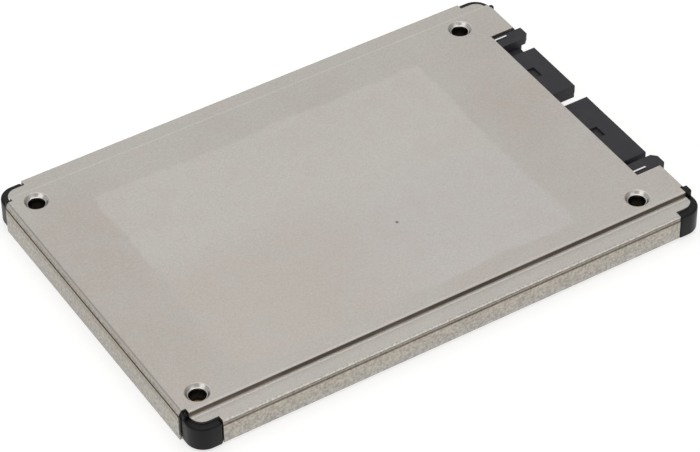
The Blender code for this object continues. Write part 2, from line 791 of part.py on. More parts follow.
def plug_housing():
    housing = block(
        "plug_housing",
        (PLUG_BODY_BACK, PLUG_BODY_FRONT),
        (-EAR_OUTER_Y, EAR_OUTER_Y),
        (PLUG_BODY_LOW, PLUG_BODY_TOP),
        "plug_plastic",
    )
    apron = block(
        "plug_apron",
        (BOARD_FRONT + FIT_GAP, PLUG_BODY_FRONT - HAIR),
        (HAIR - EAR_OUTER_Y, EAR_OUTER_Y - HAIR),
        (APRON_LOW, PLUG_BODY_LOW + OVERLAP),
    )
    join(housing, apron)
    inside = PLUG_BODY_FRONT - 2 * OVERLAP
    for tag, (low_y, high_y), pocket_y in zip(
        ("signal", "power"), (SIGNAL_TONGUE, POWER_TONGUE), POCKET_STARTS
    ):
        blade = block(
            f"{tag}_tongue",
            (inside, TONGUE_FRONT),
            (low_y, high_y),
            (PLUG_TOP - TONGUE_THICKNESS, PLUG_TOP),
            roll=TONGUE_ROLL,
        )
        key = block(
            f"{tag}_key",
            (inside, TONGUE_FRONT - HAIR),
            (low_y + HAIR, low_y + KEY_WIDTH),
            (PLUG_TOP - KEY_DEPTH, PLUG_BODY_TOP),
        )
        pocket = block(
            f"{tag}_pocket",
            (NOTCH_X - OVERLAP, POCKET_FRONT),
            (pocket_y, pocket_y + POCKET_WIDTH),
            (PLUG_TOP - POCKET_DEPTH, PLUG_TOP + BEYOND),
        )
        join(housing, blade, key)
        cut(housing, pocket)
    under_cover = block(
        "plug_under_cover",
        (PLUG_BODY_BACK - BEYOND, NOTCH_X),
        (-EAR_OUTER_Y - BEYOND, EAR_OUTER_Y + BEYOND),
        (PLUG_BODY_TOP, CASE_HEIGHT + BEYOND),
    )
    for sign_y, tag in ((1, "far"), (-1, "near")):
        ear = prism(f"ear_{tag}", ear_outline(sign_y), PLUG_BODY_LOW + OVERLAP, PLUG_TOP)
        skirt = block(
            f"ear_skirt_{tag}",
            (PLUG_BODY_FRONT - OVERLAP, EAR_STEP_X - HAIR),
            sorted((sign_y * (EAR_INNER_Y + HAIR), sign_y * (EAR_OUTER_Y - HAIR))),
            (EAR_BOTTOM, PLUG_TOP - OVERLAP),
        )
        lead_in = block(
            f"ear_lead_in_{tag}",
            (EAR_STEP_X + OVERLAP, EAR_TIP_X + BEYOND),
            sorted((sign_y * (EAR_INNER_Y - BEYOND), sign_y * (EAR_OUTER_Y + BEYOND))),
            (EAR_BOTTOM - BEYOND, PLUG_TOP - EAR_TIP_THICKNESS),
        )
        slot = block(
            f"nail_slot_{tag}",
            (NAIL_BACK - FIT_GAP, NAIL_FRONT + FIT_GAP),
            sorted(
                (
                    sign_y * (NAIL_Y - NAIL_THICKNESS / 2 - FIT_GAP),
                    sign_y * (NAIL_Y + NAIL_THICKNESS / 2 + FIT_GAP),
                )
            ),
            (EAR_BOTTOM - BEYOND, CASE_HEIGHT + BEYOND),
        )
        join(housing, ear, skirt)
        cut(housing, lead_in, slot)
    floor = block(
        "recess_floor",
        (PLUG_BODY_FRONT - OVERLAP, EAR_STEP_X - 2 * HAIR),
        (SIGNAL_TONGUE[1] - OVERLAP, EAR_INNER_Y + OVERLAP),
        (EAR_BOTTOM, RECESS_FLOOR),
    )
    near_floor = block(
        "near_slot_floor",
        (PLUG_BODY_FRONT - OVERLAP, NEAR_SLOT_FRONT),
        (-EAR_INNER_Y - OVERLAP, POWER_TONGUE[0] + OVERLAP),
        (EAR_BOTTOM, NEAR_SLOT_FLOOR),
    )
    join(housing, floor, near_floor)
    cut(housing, under_cover)
    for name, y in contact_places():
        channel = block(
            f"channel_{name}",
            (PLUG_BODY_BACK - BEYOND, CONTACT_FRONT + FIT_GAP),
            (y - CONTACT_WIDTH / 2 - CONTACT_GAP, y + CONTACT_WIDTH / 2 + CONTACT_GAP),
            (PLUG_BODY_LOW - BEYOND, CONTACT_HIGH + CONTACT_GAP),
        )
        cut(housing, channel)


def contacts():
    """Each contact is a bent strip: a blade under its tongue, a drop and a solder tail."""
    low = CONTACT_HIGH - CONTACT_THICKNESS
    tail_low = BOARD_HIGH + SEAT
    section = [
        (CONTACT_FRONT, CONTACT_HIGH),
        (CONTACT_BEND_FRONT, CONTACT_HIGH),
        (CONTACT_BEND_BACK, tail_low + CONTACT_THICKNESS),
        (CONTACT_BACK, tail_low + CONTACT_THICKNESS),
        (CONTACT_BACK, tail_low),
        (CONTACT_BEND_BACK + CONTACT_THICKNESS / 2, tail_low),
        (CONTACT_BEND_FRONT + CONTACT_THICKNESS / 2, low),
        (CONTACT_FRONT, low),
    ]
    for name, y in contact_places():
        prism(
            name, section, y - CONTACT_WIDTH / 2, y + CONTACT_WIDTH / 2, "Y", "gold_plate"
        )


def solder_nails():
    for sign_y, tag in ((1, "far"), (-1, "near")):
        outline = [
            (NAIL_BACK, NAIL_LOW),
            (NAIL_FRONT, NAIL_FRONT_LOW),
            (NAIL_FRONT, NAIL_HIGH),
            (NOTCH_X + FIT_GAP, NAIL_HIGH),
            (NOTCH_X + FIT_GAP, PLUG_BODY_TOP),
            (NAIL_BACK, PLUG_BODY_TOP),
        ]
        middle = sign_y * NAIL_Y
        prism(
            f"solder_nail_{tag}",
            outline,
            middle - NAIL_THICKNESS / 2,
            middle + NAIL_THICKNESS / 2,
            "Y",
            "tinned_steel",
        )


def circuit_board():
    low_x, high_x = BOARD_WIDE
    corners = []
    for x, y in (
        (BOARD_BACK, -BOARD_NECK_HALF_WIDTH),
        (low_x, -BOARD_NECK_HALF_WIDTH),
        (low_x, -BOARD_HALF_WIDTH),
        (high_x, -BOARD_HALF_WIDTH),
        (high_x, -BOARD_NECK_HALF_WIDTH),
        (BOARD_FRONT, -BOARD_NECK_HALF_WIDTH),
        (BOARD_FRONT, BOARD_NECK_HALF_WIDTH),
        (high_x, BOARD_NECK_HALF_WIDTH),
        (high_x, BOARD_HALF_WIDTH),
        (low_x, BOARD_HALF_WIDTH),
        (low_x, BOARD_NECK_HALF_WIDTH),
        (BOARD_BACK, BOARD_NECK_HALF_WIDTH),
    ):
        corners.append((x, y, BOARD_CORNER))
    prism("circuit_board", rounded(corners), BOARD_LOW, BOARD_HIGH, material="board_laminate")


def package(name, x, y, size_x, size_y, height, material="package_epoxy", below=False):
    """A chip package: a thin carrier with a moulded cap, on or under the board."""
    carrier = height * CARRIER_SHARE
    base = BOARD_HIGH + SEAT
    if below:
        base = BOARD_LOW - SEAT - height
    cap_from = base if below else base + carrier
    carrier_from = base + height - carrier if below else base
    body = block(
        name,
        (x - size_x / 2, x + size_x / 2),
        (y - size_y / 2, y + size_y / 2),
        (carrier_from, carrier_from + carrier),
        material,
    )
    inset = min(size_x, size_y) * CAP_INSET_SHARE
    overlap = carrier / 2
    cap = block(
        name + "_cap",
        (x - size_x / 2 + inset, x + size_x / 2 - inset),
        (y - size_y / 2 + inset, y + size_y / 2 - inset),
        (cap_from - (0 if below else overlap), cap_from + height - carrier + (overlap if below else 0)),
    )
    join(body, cap)


def chip_box(name, x, y, size_x, size_y, height, material):
    """A small plain component that stands on the board."""
    base = BOARD_HIGH + SEAT
    block(
        name,
        (x - size_x / 2, x + size_x / 2),
        (y - size_y / 2, y + size_y / 2),
        (base, base + height),
        material,
        roll=COMPONENT_ROLL,
    )


def board_parts():
    number = 0
    for below, columns in ((False, FLASH_X), (True, FLASH_X[:2])):
        for x in columns:
            for y in (-FLASH_Y, FLASH_Y):
                number += 1
                package(f"flash_chip_{number}", x, y, *FLASH_SIZE, below=below)
    package("controller_chip", *CONTROLLER_PLACE, *CONTROLLER_SIZE)
    package("memory_chip", *MEMORY_PLACE, *MEMORY_SIZE)
    package("voltage_regulator", *REGULATOR_PLACE, *REGULATOR_SIZE)
    for index in range(2):
        x, y = INDUCTOR_PLACE
        chip_box(f"power_inductor_{index + 1}", x, y - index * INDUCTOR_PITCH, *INDUCTOR_SIZE, "ferrite")
    for index in range(CAPACITOR_COUNT):
        x, y = CAPACITOR_PLACE
        chip_box(
            f"ceramic_capacitor_{index + 1}", x, y - index * CAPACITOR_PITCH, *CAPACITOR_SIZE, "ceramic"
        )
    chip_box("clock_crystal", *CRYSTAL_PLACE, *CRYSTAL_SIZE, "tinned_steel")


def pad_and_film():
    """The pad fills the room between the controller and the cover, and the film lines the tray."""
    x, y = CONTROLLER_PLACE
    half = PAD_WIDTH / 2
    low = BOARD_HIGH + SEAT + CONTROLLER_SIZE[2] + SEAT
    high = CASE_HEIGHT - SHEET - SEAT
    block("thermal_pad", (x - half, x + half), (y - half, y + half), (low, high), "thermal_pad")
    outline = rounded(
        [
            (-FILM_HALF_LENGTH, -FILM_HALF_WIDTH, FILM_CORNER),
            (FILM_FRONT, -FILM_HALF_WIDTH, FILM_CORNER),
            (FILM_FRONT, FILM_HALF_WIDTH, FILM_CORNER),
            (-FILM_HALF_LENGTH, FILM_HALF_WIDTH, FILM_CORNER),
        ]
    )
    prism(
        "insulating_film",
        outline,
        SHEET + SEAT,
        SHEET + SEAT + FILM_THICKNESS,
        material="insulating_film",
    )


def build():
    top_cover()
    base_tray()
    corner_frame()
    threaded_inserts()
    plug_housing()
    contacts()
    solder_nails()
    circuit_board()
    board_parts()
    pad_and_film()


build()
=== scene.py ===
# %% [markdown]
# # A cased solid state drive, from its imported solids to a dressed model
#
# This lesson dresses a small drive in a pressed metal case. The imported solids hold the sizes, and
# the new surfaces keep to them, apart from a few seams and folds that were measured once more in
# the picture. The model is about 79 mm long, 54 mm wide and 5 mm thick, so one pixel of the final
# picture is about an eighth of a millimetre, and a folded edge of 0.3 mm already shows.

# %% Load the frame
import math

import bmesh
import bpy
import numpy as np
from mathutils import Matrix, Vector


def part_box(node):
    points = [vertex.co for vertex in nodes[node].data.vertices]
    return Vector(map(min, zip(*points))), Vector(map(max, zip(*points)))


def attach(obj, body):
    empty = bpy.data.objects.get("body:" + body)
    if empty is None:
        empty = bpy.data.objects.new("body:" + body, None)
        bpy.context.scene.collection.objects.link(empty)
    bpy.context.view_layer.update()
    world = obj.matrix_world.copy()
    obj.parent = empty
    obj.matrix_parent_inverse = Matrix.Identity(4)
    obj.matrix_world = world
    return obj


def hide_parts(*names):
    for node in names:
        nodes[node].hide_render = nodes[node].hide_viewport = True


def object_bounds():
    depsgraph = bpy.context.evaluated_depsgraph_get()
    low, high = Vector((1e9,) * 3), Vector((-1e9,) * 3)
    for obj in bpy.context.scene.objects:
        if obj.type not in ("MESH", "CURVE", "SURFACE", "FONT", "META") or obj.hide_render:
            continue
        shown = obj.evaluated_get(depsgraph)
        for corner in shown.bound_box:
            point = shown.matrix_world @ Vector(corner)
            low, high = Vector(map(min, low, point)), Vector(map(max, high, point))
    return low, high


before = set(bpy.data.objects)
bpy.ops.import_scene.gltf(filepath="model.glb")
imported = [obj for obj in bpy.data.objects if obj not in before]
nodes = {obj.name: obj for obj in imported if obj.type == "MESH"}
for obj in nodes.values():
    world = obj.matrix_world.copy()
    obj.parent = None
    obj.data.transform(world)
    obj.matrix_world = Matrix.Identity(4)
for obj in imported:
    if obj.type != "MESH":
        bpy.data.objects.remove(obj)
cad_low, cad_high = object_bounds()
print("solids:", len(nodes), "box in mm:", [round(1000 * v, 2) for v in cad_high - cad_low])

# %% [markdown]
# ## The camera
#
# A product picture like this one is taken from far away with a long lens, so the long edges stay
# nearly parallel. The camera could be aimed by hand, but the four corners of the case and the
# screw holes give enough points to work its place out: the angles below leave about a third of a
# pixel between the picture and the solids. The solids are centred on the whole object, while the
# camera was worked out from the middle of the case, so the shift between them comes first.

# %% Camera
CASE_SHIFT = (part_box("base_tray")[0].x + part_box("base_tray")[1].x) / 2
PICTURE_WIDTH = 700
SENSOR = 36.0
FOCAL_PIXELS = 3312.8
DISTANCE = 0.4458
AZIMUTH, ELEVATION, ROLL = (math.radians(angle) for angle in (-31.484, 42.079, -0.827))
AIM = (0.000407, -0.000401)


def placed(name, data):
    """A new object of the scene that shows the data."""
    made = bpy.data.objects.new(name, data)
    bpy.context.scene.collection.objects.link(made)
    return made


def towards(azimuth, elevation):
    """A way out from the drive: azimuth turns it from -Y towards +X, and elevation lifts it."""
    level = math.cos(elevation)
    return Vector((math.sin(azimuth) * level, -math.cos(azimuth) * level, math.sin(elevation)))


back = towards(AZIMUTH, ELEVATION)
level_right = Vector((0, 0, 1)).cross(back).normalized()
level_up = back.cross(level_right)
right = math.cos(ROLL) * level_right + math.sin(ROLL) * level_up
up = -math.sin(ROLL) * level_right + math.cos(ROLL) * level_up
turn = Matrix((right, up, back)).transposed()
place = turn @ Vector((*AIM, DISTANCE)) + Vector((CASE_SHIFT, 0, 0))
lens = bpy.data.cameras.new("picture_camera")
lens.sensor_width = SENSOR
lens.lens = FOCAL_PIXELS / PICTURE_WIDTH * SENSOR
lens.clip_start = 0.01
lens.clip_end = 10.0
camera = placed("picture_camera", lens)
camera.matrix_world = Matrix.Translation(place) @ turn.to_4x4()
bpy.context.scene.camera = camera
print("lens in mm:", round(lens.lens, 1), "case shift in mm:", round(1000 * CASE_SHIFT, 3))

# %% [markdown]
# ## Floor and light
#
# Small metal things are photographed on white paper under large soft lamps, because bare metal
# shows whatever is around it. A flat metal plate mirrors one patch of the room, so the brightness
# of that patch is the brightness of the plate. Here one wide lamp hangs straight above the drive,
# one behind it for the plate to mirror, a weaker one stands on each near side for the walls, and an
# even pale surround fills the shadows. Point lamps would leave hard spots, so each is a large area.

# %% Floor and lamps
FLOOR_HALF = 0.9
FLOOR_STEPS = 48
paper_material = bpy.data.materials.new("white_paper")
paper_material.use_nodes = True
paper_shader = paper_material.node_tree.nodes["Principled BSDF"]
paper_shader.inputs["Base Color"].default_value = (0.42, 0.42, 0.418, 1.0)
paper_shader.inputs["Roughness"].default_value = 0.9
paper_shader.inputs["Specular IOR Level"].default_value = 0.1
paper_shader.inputs["Emission Color"].default_value = (1.0, 0.998, 0.99, 1.0)
paper_shader.inputs["Emission Strength"].default_value = 0.66


def paper_surface():
    """A flat square in X and Y at the height that the drive's underside stands on."""
    line = np.linspace(-FLOOR_HALF, FLOOR_HALF, FLOOR_STEPS)
    x, y = np.meshgrid(line, line, indexing="ij")
    return np.stack([x, y, np.full_like(x, cad_low.z)], axis=-1)


def area_lamp(name, direction, distance, size, power):
    """A square soft lamp that looks at the drive from an azimuth and elevation in degrees."""
    away = towards(*(math.radians(angle) for angle in direction))
    data = bpy.data.lights.new(name, "AREA")
    data.size = size
    data.energy = power
    facing = away.to_track_quat("Z", "Y").to_matrix().to_4x4()
    placed(name, data).matrix_world = Matrix.Translation(away * distance) @ facing


# %% [markdown]
# ## From arrays to a mesh
#
# Every new surface below is worked out as whole arrays of points, and then joined into a mesh. A
# few helpers do the joining. They number the corners of each cell of a grid, always in the same
# turning order, merge points that lie in one place, and hand the result to Blender. Edges sharper
# than 32 degrees are marked, so that folds stay crisp while rolled edges and bowls shade smoothly.

# %% Grid and mesh helpers
MM = 0.001
SAME_PLACE = 7
SHARP = math.radians(32)


def numbered(points):
    """The number of each point in rows that close on themselves, and of the point after it."""
    rows, columns = points.shape[:2]
    number = np.arange(rows * columns).reshape(rows, columns)
    return number, np.roll(number, -1, axis=1)


def cells(rows, columns):
    """Corner numbers of every cell of a grid, as (rows - 1, columns - 1, 4)."""
    corner = np.arange(rows * columns).reshape(rows, columns)
    return np.stack([corner[:-1, :-1], corner[1:, :-1], corner[1:, 1:], corner[:-1, 1:]], axis=-1)


def merged(points, faces):
    """One number for each place, and each face renumbered, without points that no face uses."""
    used, numbers = np.unique(faces, return_inverse=True)
    _, first, same = np.unique(
        np.round(points[used], SAME_PLACE), axis=0, return_index=True, return_inverse=True
    )
    return used[first], same.reshape(-1)[numbers].reshape(faces.shape)


def without_collapsed(faces):
    """Each face as a list in which a corner that repeats is named once."""
    kept = []
    for face in faces.tolist():
        corners = [c for c, before in zip(face, face[-1:] + face[:-1]) if c != before]
        if len(corners) > 2:
            kept.append(corners)
    return kept


def dressed(name, mesh, node):
    """A piece that shows the mesh, smooth but for its sharp edges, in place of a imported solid."""
    mesh.shade_smooth()
    mesh.set_sharp_from_angle(angle=SHARP)
    piece = placed(name, mesh)
    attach(piece, "root")
    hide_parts(node)
    return piece


def make_piece(name, points, faces, material, node):
    """A piece of the drive from points in millimetres in the case's own frame."""
    mesh = bpy.data.meshes.new(name)
    mesh.from_pydata((points * MM + (CASE_SHIFT, 0, 0)).tolist(), [], faces)
    mesh.validate()
    mesh.materials.append(material)
    return dressed(name, mesh, node)


# %% Lay the floor and hang the lamps
floor_mesh = bpy.data.meshes.new("paper_floor")
floor_faces = cells(FLOOR_STEPS, FLOOR_STEPS).reshape(-1, 4).tolist()
floor_mesh.from_pydata(paper_surface().reshape(-1, 3).tolist(), [], floor_faces)
floor_mesh.materials.append(paper_material)
floor = placed("paper_floor", floor_mesh)

area_lamp("lamp_behind", (150, 48), 1.0, 0.9, 1.2)
area_lamp("lamp_above", (0, 88), 1.1, 1.0, 4.0)
area_lamp("lamp_near_left", (-75, 30), 0.9, 0.7, 1.0)
area_lamp("lamp_near_right", (20, 25), 0.9, 0.7, 0.8)
world = bpy.data.worlds.new("pale_room")
bpy.context.scene.world = world
world.use_nodes = True
background = world.node_tree.nodes["Background"]
background.inputs["Color"].default_value = (1.0, 0.995, 0.985, 1.0)
background.inputs["Strength"].default_value = 0.5
bpy.context.scene.view_settings.view_transform = "Standard"
print("floor at z in mm:", round(1000 * cad_low.z, 3))

# %% [markdown]
# ## Pressed covers: a flat blank and two folds
#
# Each cover starts its real life as a flat sheet of nickel-plated steel, 0.3 mm thick, which a
# press cuts and folds. The model is made the same way. A blank is a grid of lines across and lines
# along. Folding it means carrying every line to its place on a section: across the drive the
# section steps down from the raised field to a flange and rolls over into the long side wall, and
# along the drive the field bends down a short slope to the short wall. A point takes its y and
# height from the first section and its x and a further drop from the second. The same could be
# done with boxes and bevels, but then rolls and slopes would not run on in one surface.

# %% Sections as straight runs and rolls
SHEET = 0.3
EDGE_HINT = 0.04


def rolled_path(points, radii, run_steps, roll_steps):
    """Straight runs between points, with each inner corner rolled.

    On a roll a point is centre + r (d0 sin t - d1 cos t), where d0 and d1 are the directions of the
    runs before and after it and t goes from 0 to a quarter turn. Each run also gets a point close
    to each of its ends, which keeps the flats flat when the shading is smoothed.
    """
    points = np.asarray(points, float)
    runs = np.diff(points, axis=0)
    ways = runs / np.linalg.norm(runs, axis=1, keepdims=True)
    t = np.linspace(0, math.pi / 2, roll_steps + 1)[1:-1, None]
    path = []
    start = points[0]
    for index, way in enumerate(ways):
        last = index == len(ways) - 1
        radius = 0.0 if last else radii[index]
        end = points[index + 1] - way * radius
        length = np.linalg.norm(end - start)
        hint = min(EDGE_HINT, length / 4)
        inside = np.linspace(hint, length - hint, run_steps[index] + 1)
        along = np.concatenate([[0], inside, [length]])
        path.append(start + way * along[:, None])
        if not last:
            after = ways[index + 1]
            centre = end + after * radius
            path.append(centre + radius * (way * np.sin(t) - after * np.cos(t)))
            start = points[index + 1] + after * radius
    return np.concatenate(path)


def spread(stops):
    """Lines from the first stop to the last: each (place, gap) says how far apart they may lie."""
    parts = [
        np.linspace(place, after, max(1, math.ceil((after - place) / gap)), endpoint=False)
        for (place, gap), (after, _) in zip(stops, stops[1:])
    ]
    return np.concatenate(parts + [[stops[-1][0]]])


# %% Where the blank is cut
CASE_HALF = (39.25, 27.0)
FIELD_EDGE = 23.95
STEP_ROLL = 0.1
FOOT_ROLL = 0.06
RAIL_ROLL = 0.14
TOP_FOLD, BASE_FOLD = (0.48, 1.9), (0.14, 1.0)
EAR_OUT = 25.9
CORNER_SHIFT = 0.25
FLANGE_END = 35.2
TOOTH_IN = 38.38
TOOTH_SIDE = 23.16
WIDE_TOOTH_IN, WIDE_TOOTH_SIDE = 38.12, 22.68
EAR_END = 38.36
EAR_RADIUS = 1.7
EAR_TURN = 37.5
NOTCH_BACK = 35.0
NOTCH_SIDES = (-17.66, 17.6)
DIMPLE_X = (-35.45, 32.27)
DIMPLE_Y = 21.43
PATCH = 2.1
FINE, COARSE = 0.27, 1.3

# %% Field lines
half_field = [
    (0.0, COARSE),
    (17.6, 0.4),
    (17.66, 0.6),
    (DIMPLE_Y - PATCH, FINE),
    (WIDE_TOOTH_SIDE, FINE),
    (TOOTH_SIDE, FINE),
    (DIMPLE_Y + PATCH, 0.2),
    (FIELD_EDGE - STEP_ROLL - EDGE_HINT, 1.0),
]
field_y = spread(half_field)
field_y = np.concatenate([-field_y[:0:-1], field_y])
print("lines across the field:", len(field_y))


def lines_along(end, fold):
    """Places along x where the sheet needs a line: cuts, dimples and the start of each end fold."""
    flat_end = end - fold[0] - EDGE_HINT
    stops = [
        (-flat_end, 0.3),
        (CORNER_SHIFT - TOOTH_IN, FINE / 2),
        (DIMPLE_X[0] - PATCH, FINE / 2),
        (CORNER_SHIFT - EAR_TURN, FINE),
        (CORNER_SHIFT - FLANGE_END, FINE),
        (DIMPLE_X[0] + PATCH, COARSE),
        (DIMPLE_X[1] - PATCH, FINE),
        (DIMPLE_X[1] + PATCH, 0.7),
        (NOTCH_BACK, 0.5),
        (CORNER_SHIFT + FLANGE_END, FINE),
        (CORNER_SHIFT + EAR_TURN, FINE / 2),
        (CORNER_SHIFT + WIDE_TOOTH_IN, FINE / 2),
        (CORNER_SHIFT + TOOTH_IN, FINE / 2),
        (flat_end, 1.0),
    ]
    return spread(stops)


# %% Dimples
DIMPLE_TOP, DIMPLE_HOLE, DIMPLE_DEPTH = 1.72, 1.22, 0.52
DIMPLE_LINES = 16
DIMPLE_WALL = 0.2
FLAT_RINGS = 4


def dimple_rings():
    """Radius and depth of each ring of a dimple, on the sheet's face and on its back.

    As s goes from 0 to 1 the radius shrinks evenly, and the depth grows as s s (3 - 2 s), so the
    sheet rolls over at the top, drops steeply and ends in a level lip round the hole.
    """
    s = np.linspace(0, 1, DIMPLE_LINES)
    depth = DIMPLE_DEPTH * s * s * (3 - 2 * s)
    face = np.stack([DIMPLE_TOP + (DIMPLE_HOLE - DIMPLE_TOP) * s, depth], axis=-1)
    behind = face + np.stack([DIMPLE_WALL * (1 - s), SHEET + (DIMPLE_WALL - SHEET) * s], axis=-1)
    return face, behind


def dimple_patch(square, centre, rings):
    """Rings that run from a square of grid points to a circle, and then down the dimple.

    A flat ring lies a share s of the way from its square point to the circle's point at the same
    angle, and the share eases in as s s (3 - 2 s). Gives x, y and depth as (rings, points, 3).
    """
    away = square - centre
    angle = np.arctan2(away[:, 1], away[:, 0])
    round_way = np.stack([np.cos(angle), np.sin(angle)], axis=-1)
    share = np.linspace(0, 1, FLAT_RINGS + 1)[:-1, None, None]
    share = share * share * (3 - 2 * share)
    circle = round_way * rings[0, 0]
    flat = away * (1 - share) + circle * share
    down = rings[:, 0][:, None, None] * round_way
    plan = np.concatenate([flat, down]) + centre
    depth = np.concatenate([np.zeros(FLAT_RINGS), rings[:, 1]])
    depth = np.broadcast_to(depth[:, None, None], plan.shape[:2] + (1,))
    return np.concatenate([plan, depth], axis=-1)


def square_of(xs, ys):
    """The points round a block of the grid, once round against the clock."""
    block = np.stack(np.meshgrid(xs, ys, indexing="ij"), axis=-1)
    return np.concatenate([block[:-1, 0], block[-1, :-1], block[:0:-1, -1], block[0, :0:-1]])


# %% The folded blank
EAR_LINES = 6
DISH = 0.035
TOP = 5.0
STEP_WALL = 0.15


def dish(x, y):
    """How far the field sinks between its edges, as pressed sheet does.

    Three slow waves are added, and the sum fades to nothing at the field's edges.
    """
    fade = np.clip(1 - (x / 34) ** 4, 0, 1) * np.clip(1 - (y / 19) ** 4, 0, 1)
    waves = 2 + np.sin(x / 9.0 + 0.7) * np.cos(y / 8.0) + np.sin((x - 2 * y) / 17.0)
    return DISH * fade * waves / 4


def both_ways(middle, side):
    """A section that is the same to the left and right: its lines' places and drops."""
    places = np.concatenate([-side[::-1, 0], middle[:, 0], side[:, 0]])
    drops = np.concatenate([side[::-1, 1], middle[:, 1], side[:, 1]])
    return places, drops


def section_across(edge, flange_drop, long_wall, sunk):
    """Field, step, flange and long wall, for the face (sunk 0) or the back of the sheet."""
    back = sunk > 0
    foot = FIELD_EDGE - STEP_WALL if back else FIELD_EDGE
    start = FIELD_EDGE - STEP_ROLL - EDGE_HINT
    drop = flange_drop + sunk
    step = rolled_path(
        [(start, sunk), (foot, sunk), (foot, drop), (EAR_OUT, drop)],
        [0.04, FOOT_ROLL] if back else [STEP_ROLL, FOOT_ROLL],
        [1, 1, EAR_LINES],
        5,
    )
    rail = rolled_path(
        [(EAR_OUT, drop), (edge - sunk, drop), (edge - sunk, long_wall)],
        [0.05 if back else RAIL_ROLL],
        [2, 8],
        7,
    )
    middle = np.stack([field_y, np.full_like(field_y, sunk)], axis=-1)
    return middle, np.concatenate([step[1:], rail[1:]]), len(step) - 1


def section_along(end, short_wall, fold, sunk):
    """Field, folded end and short wall, for the face or the back of the sheet.

    Past the bend the drop is slope times distance. Through the bend it is slope times the square
    of the distance into it, over four half widths, which meets both runs without a crease. The
    back bends earlier, so that the sheet keeps its thickness on the slope.
    """
    xs = lines_along(end, fold)
    length, slope = fold
    half = length / 4
    x = end - length + np.concatenate([np.linspace(0, 2 * half, 7), [length * 0.75, length * 0.96]])
    past = x - (end - length + half)
    drop = slope * np.clip(past + half, 0, 2 * half) ** 2 / (4 * half)
    drop += slope * np.clip(past - half, 0, None)
    run = np.stack([x - sunk * 0.84, drop + sunk], axis=-1)
    corner = drop[-1] + sunk * 1.1
    wall_z = np.array([corner + 0.03, corner + 0.1, short_wall - EDGE_HINT, short_wall])
    wall = np.stack([np.full(4, end - sunk), wall_z], axis=-1)
    return np.stack([xs, np.full_like(xs, sunk)], axis=-1), np.concatenate([run, wall])


def ear_reach(x):
    """How far out an ear reaches at x: straight, and then round a circle to its end."""
    along = np.abs(x - CORNER_SHIFT) - (EAR_END - EAR_RADIUS)
    round_part = np.sqrt(np.clip(EAR_RADIUS**2 - np.clip(along, 0, None) ** 2, 0, None))
    return EAR_OUT - EAR_RADIUS + round_part


def folded(edge, end, flange_drop, long_wall, short_wall, fold, sunk):
    """The whole blank folded, as (lines along, lines across, 3), and which lines lie where."""
    middle, side, ear_count = section_across(edge, flange_drop, long_wall, sunk)
    ys, drop_y = both_ways(middle, side)
    field_x, fold = section_along(end, short_wall, fold, sunk)
    xs, drop_x = both_ways(field_x, fold)
    x, y = np.meshgrid(xs, ys, indexing="ij")
    foot = FIELD_EDGE + FOOT_ROLL
    on_flange = (np.abs(y) > foot) & (np.abs(y) <= EAR_OUT + 1e-9)
    on_ear = on_flange & (np.abs(x - CORNER_SHIFT) > FLANGE_END)
    share = (np.abs(y) - foot) / (EAR_OUT - foot)
    y = np.where(on_ear, np.sign(y) * (foot + share * (ear_reach(x) - foot)), y)
    z = TOP - drop_x[:, None] - drop_y[None, :]
    z = z - np.where(np.abs(y) < FIELD_EDGE - STEP_ROLL, dish(x, y), 0)
    return np.stack([x, y, z], axis=-1), xs, ys, len(side), ear_count


def kept_cells(xs, ys, side_count, ear_count):
    """Which cells of the blank are left after the press has cut it."""
    x = (xs[1:] + xs[:-1])[:, None] / 2
    y = (ys[1:] + ys[:-1])[None, :] / 2
    place = np.arange(len(ys) - 1)[None, :]
    outward = np.maximum(side_count - place, place - (len(ys) - 1 - side_count) + 1)
    local = np.abs(x - CORNER_SHIFT)
    keep = ~((local > TOOTH_IN) & (np.abs(y) > TOOTH_SIDE))
    keep &= ~((x - CORNER_SHIFT > WIDE_TOOTH_IN) & (y < -WIDE_TOOTH_SIDE))
    keep &= ~((local > FLANGE_END) & (outward > ear_count))
    keep &= ~((x > NOTCH_BACK) & (y > NOTCH_SIDES[0]) & (y < NOTCH_SIDES[1]))
    for middle in DIMPLE_X:
        keep &= ~((np.abs(x - middle) < PATCH) & (np.abs(np.abs(y) - DIMPLE_Y) < PATCH))
    return keep


# %% One pressed cover
def inside_span(lines, middle):
    """The lines that run through the square patch round a dimple."""
    return lines[(lines > middle - PATCH - 1e-6) & (lines < middle + PATCH + 1e-6)]


def closed_sheet(face, back, faces):
    """Both skins of a sheet and the cut edge between them.

    An edge that only one cell uses is a cut edge, and gets a face from skin to skin.
    """
    count = len(face)
    edges = np.concatenate([faces[:, [k, (k + 1) % 4]] for k in range(4)])
    key = np.sort(edges, axis=1)
    key = key[:, 0] * count + key[:, 1]
    _, where, uses = np.unique(key, return_inverse=True, return_counts=True)
    rim = edges[(uses[where.reshape(-1)] == 1) & (edges[:, 0] != edges[:, 1])]
    walls = np.stack([rim[:, 1], rim[:, 0], rim[:, 0] + count, rim[:, 1] + count], axis=-1)
    return np.concatenate([face, back]), np.concatenate([faces, faces[:, ::-1] + count, walls])


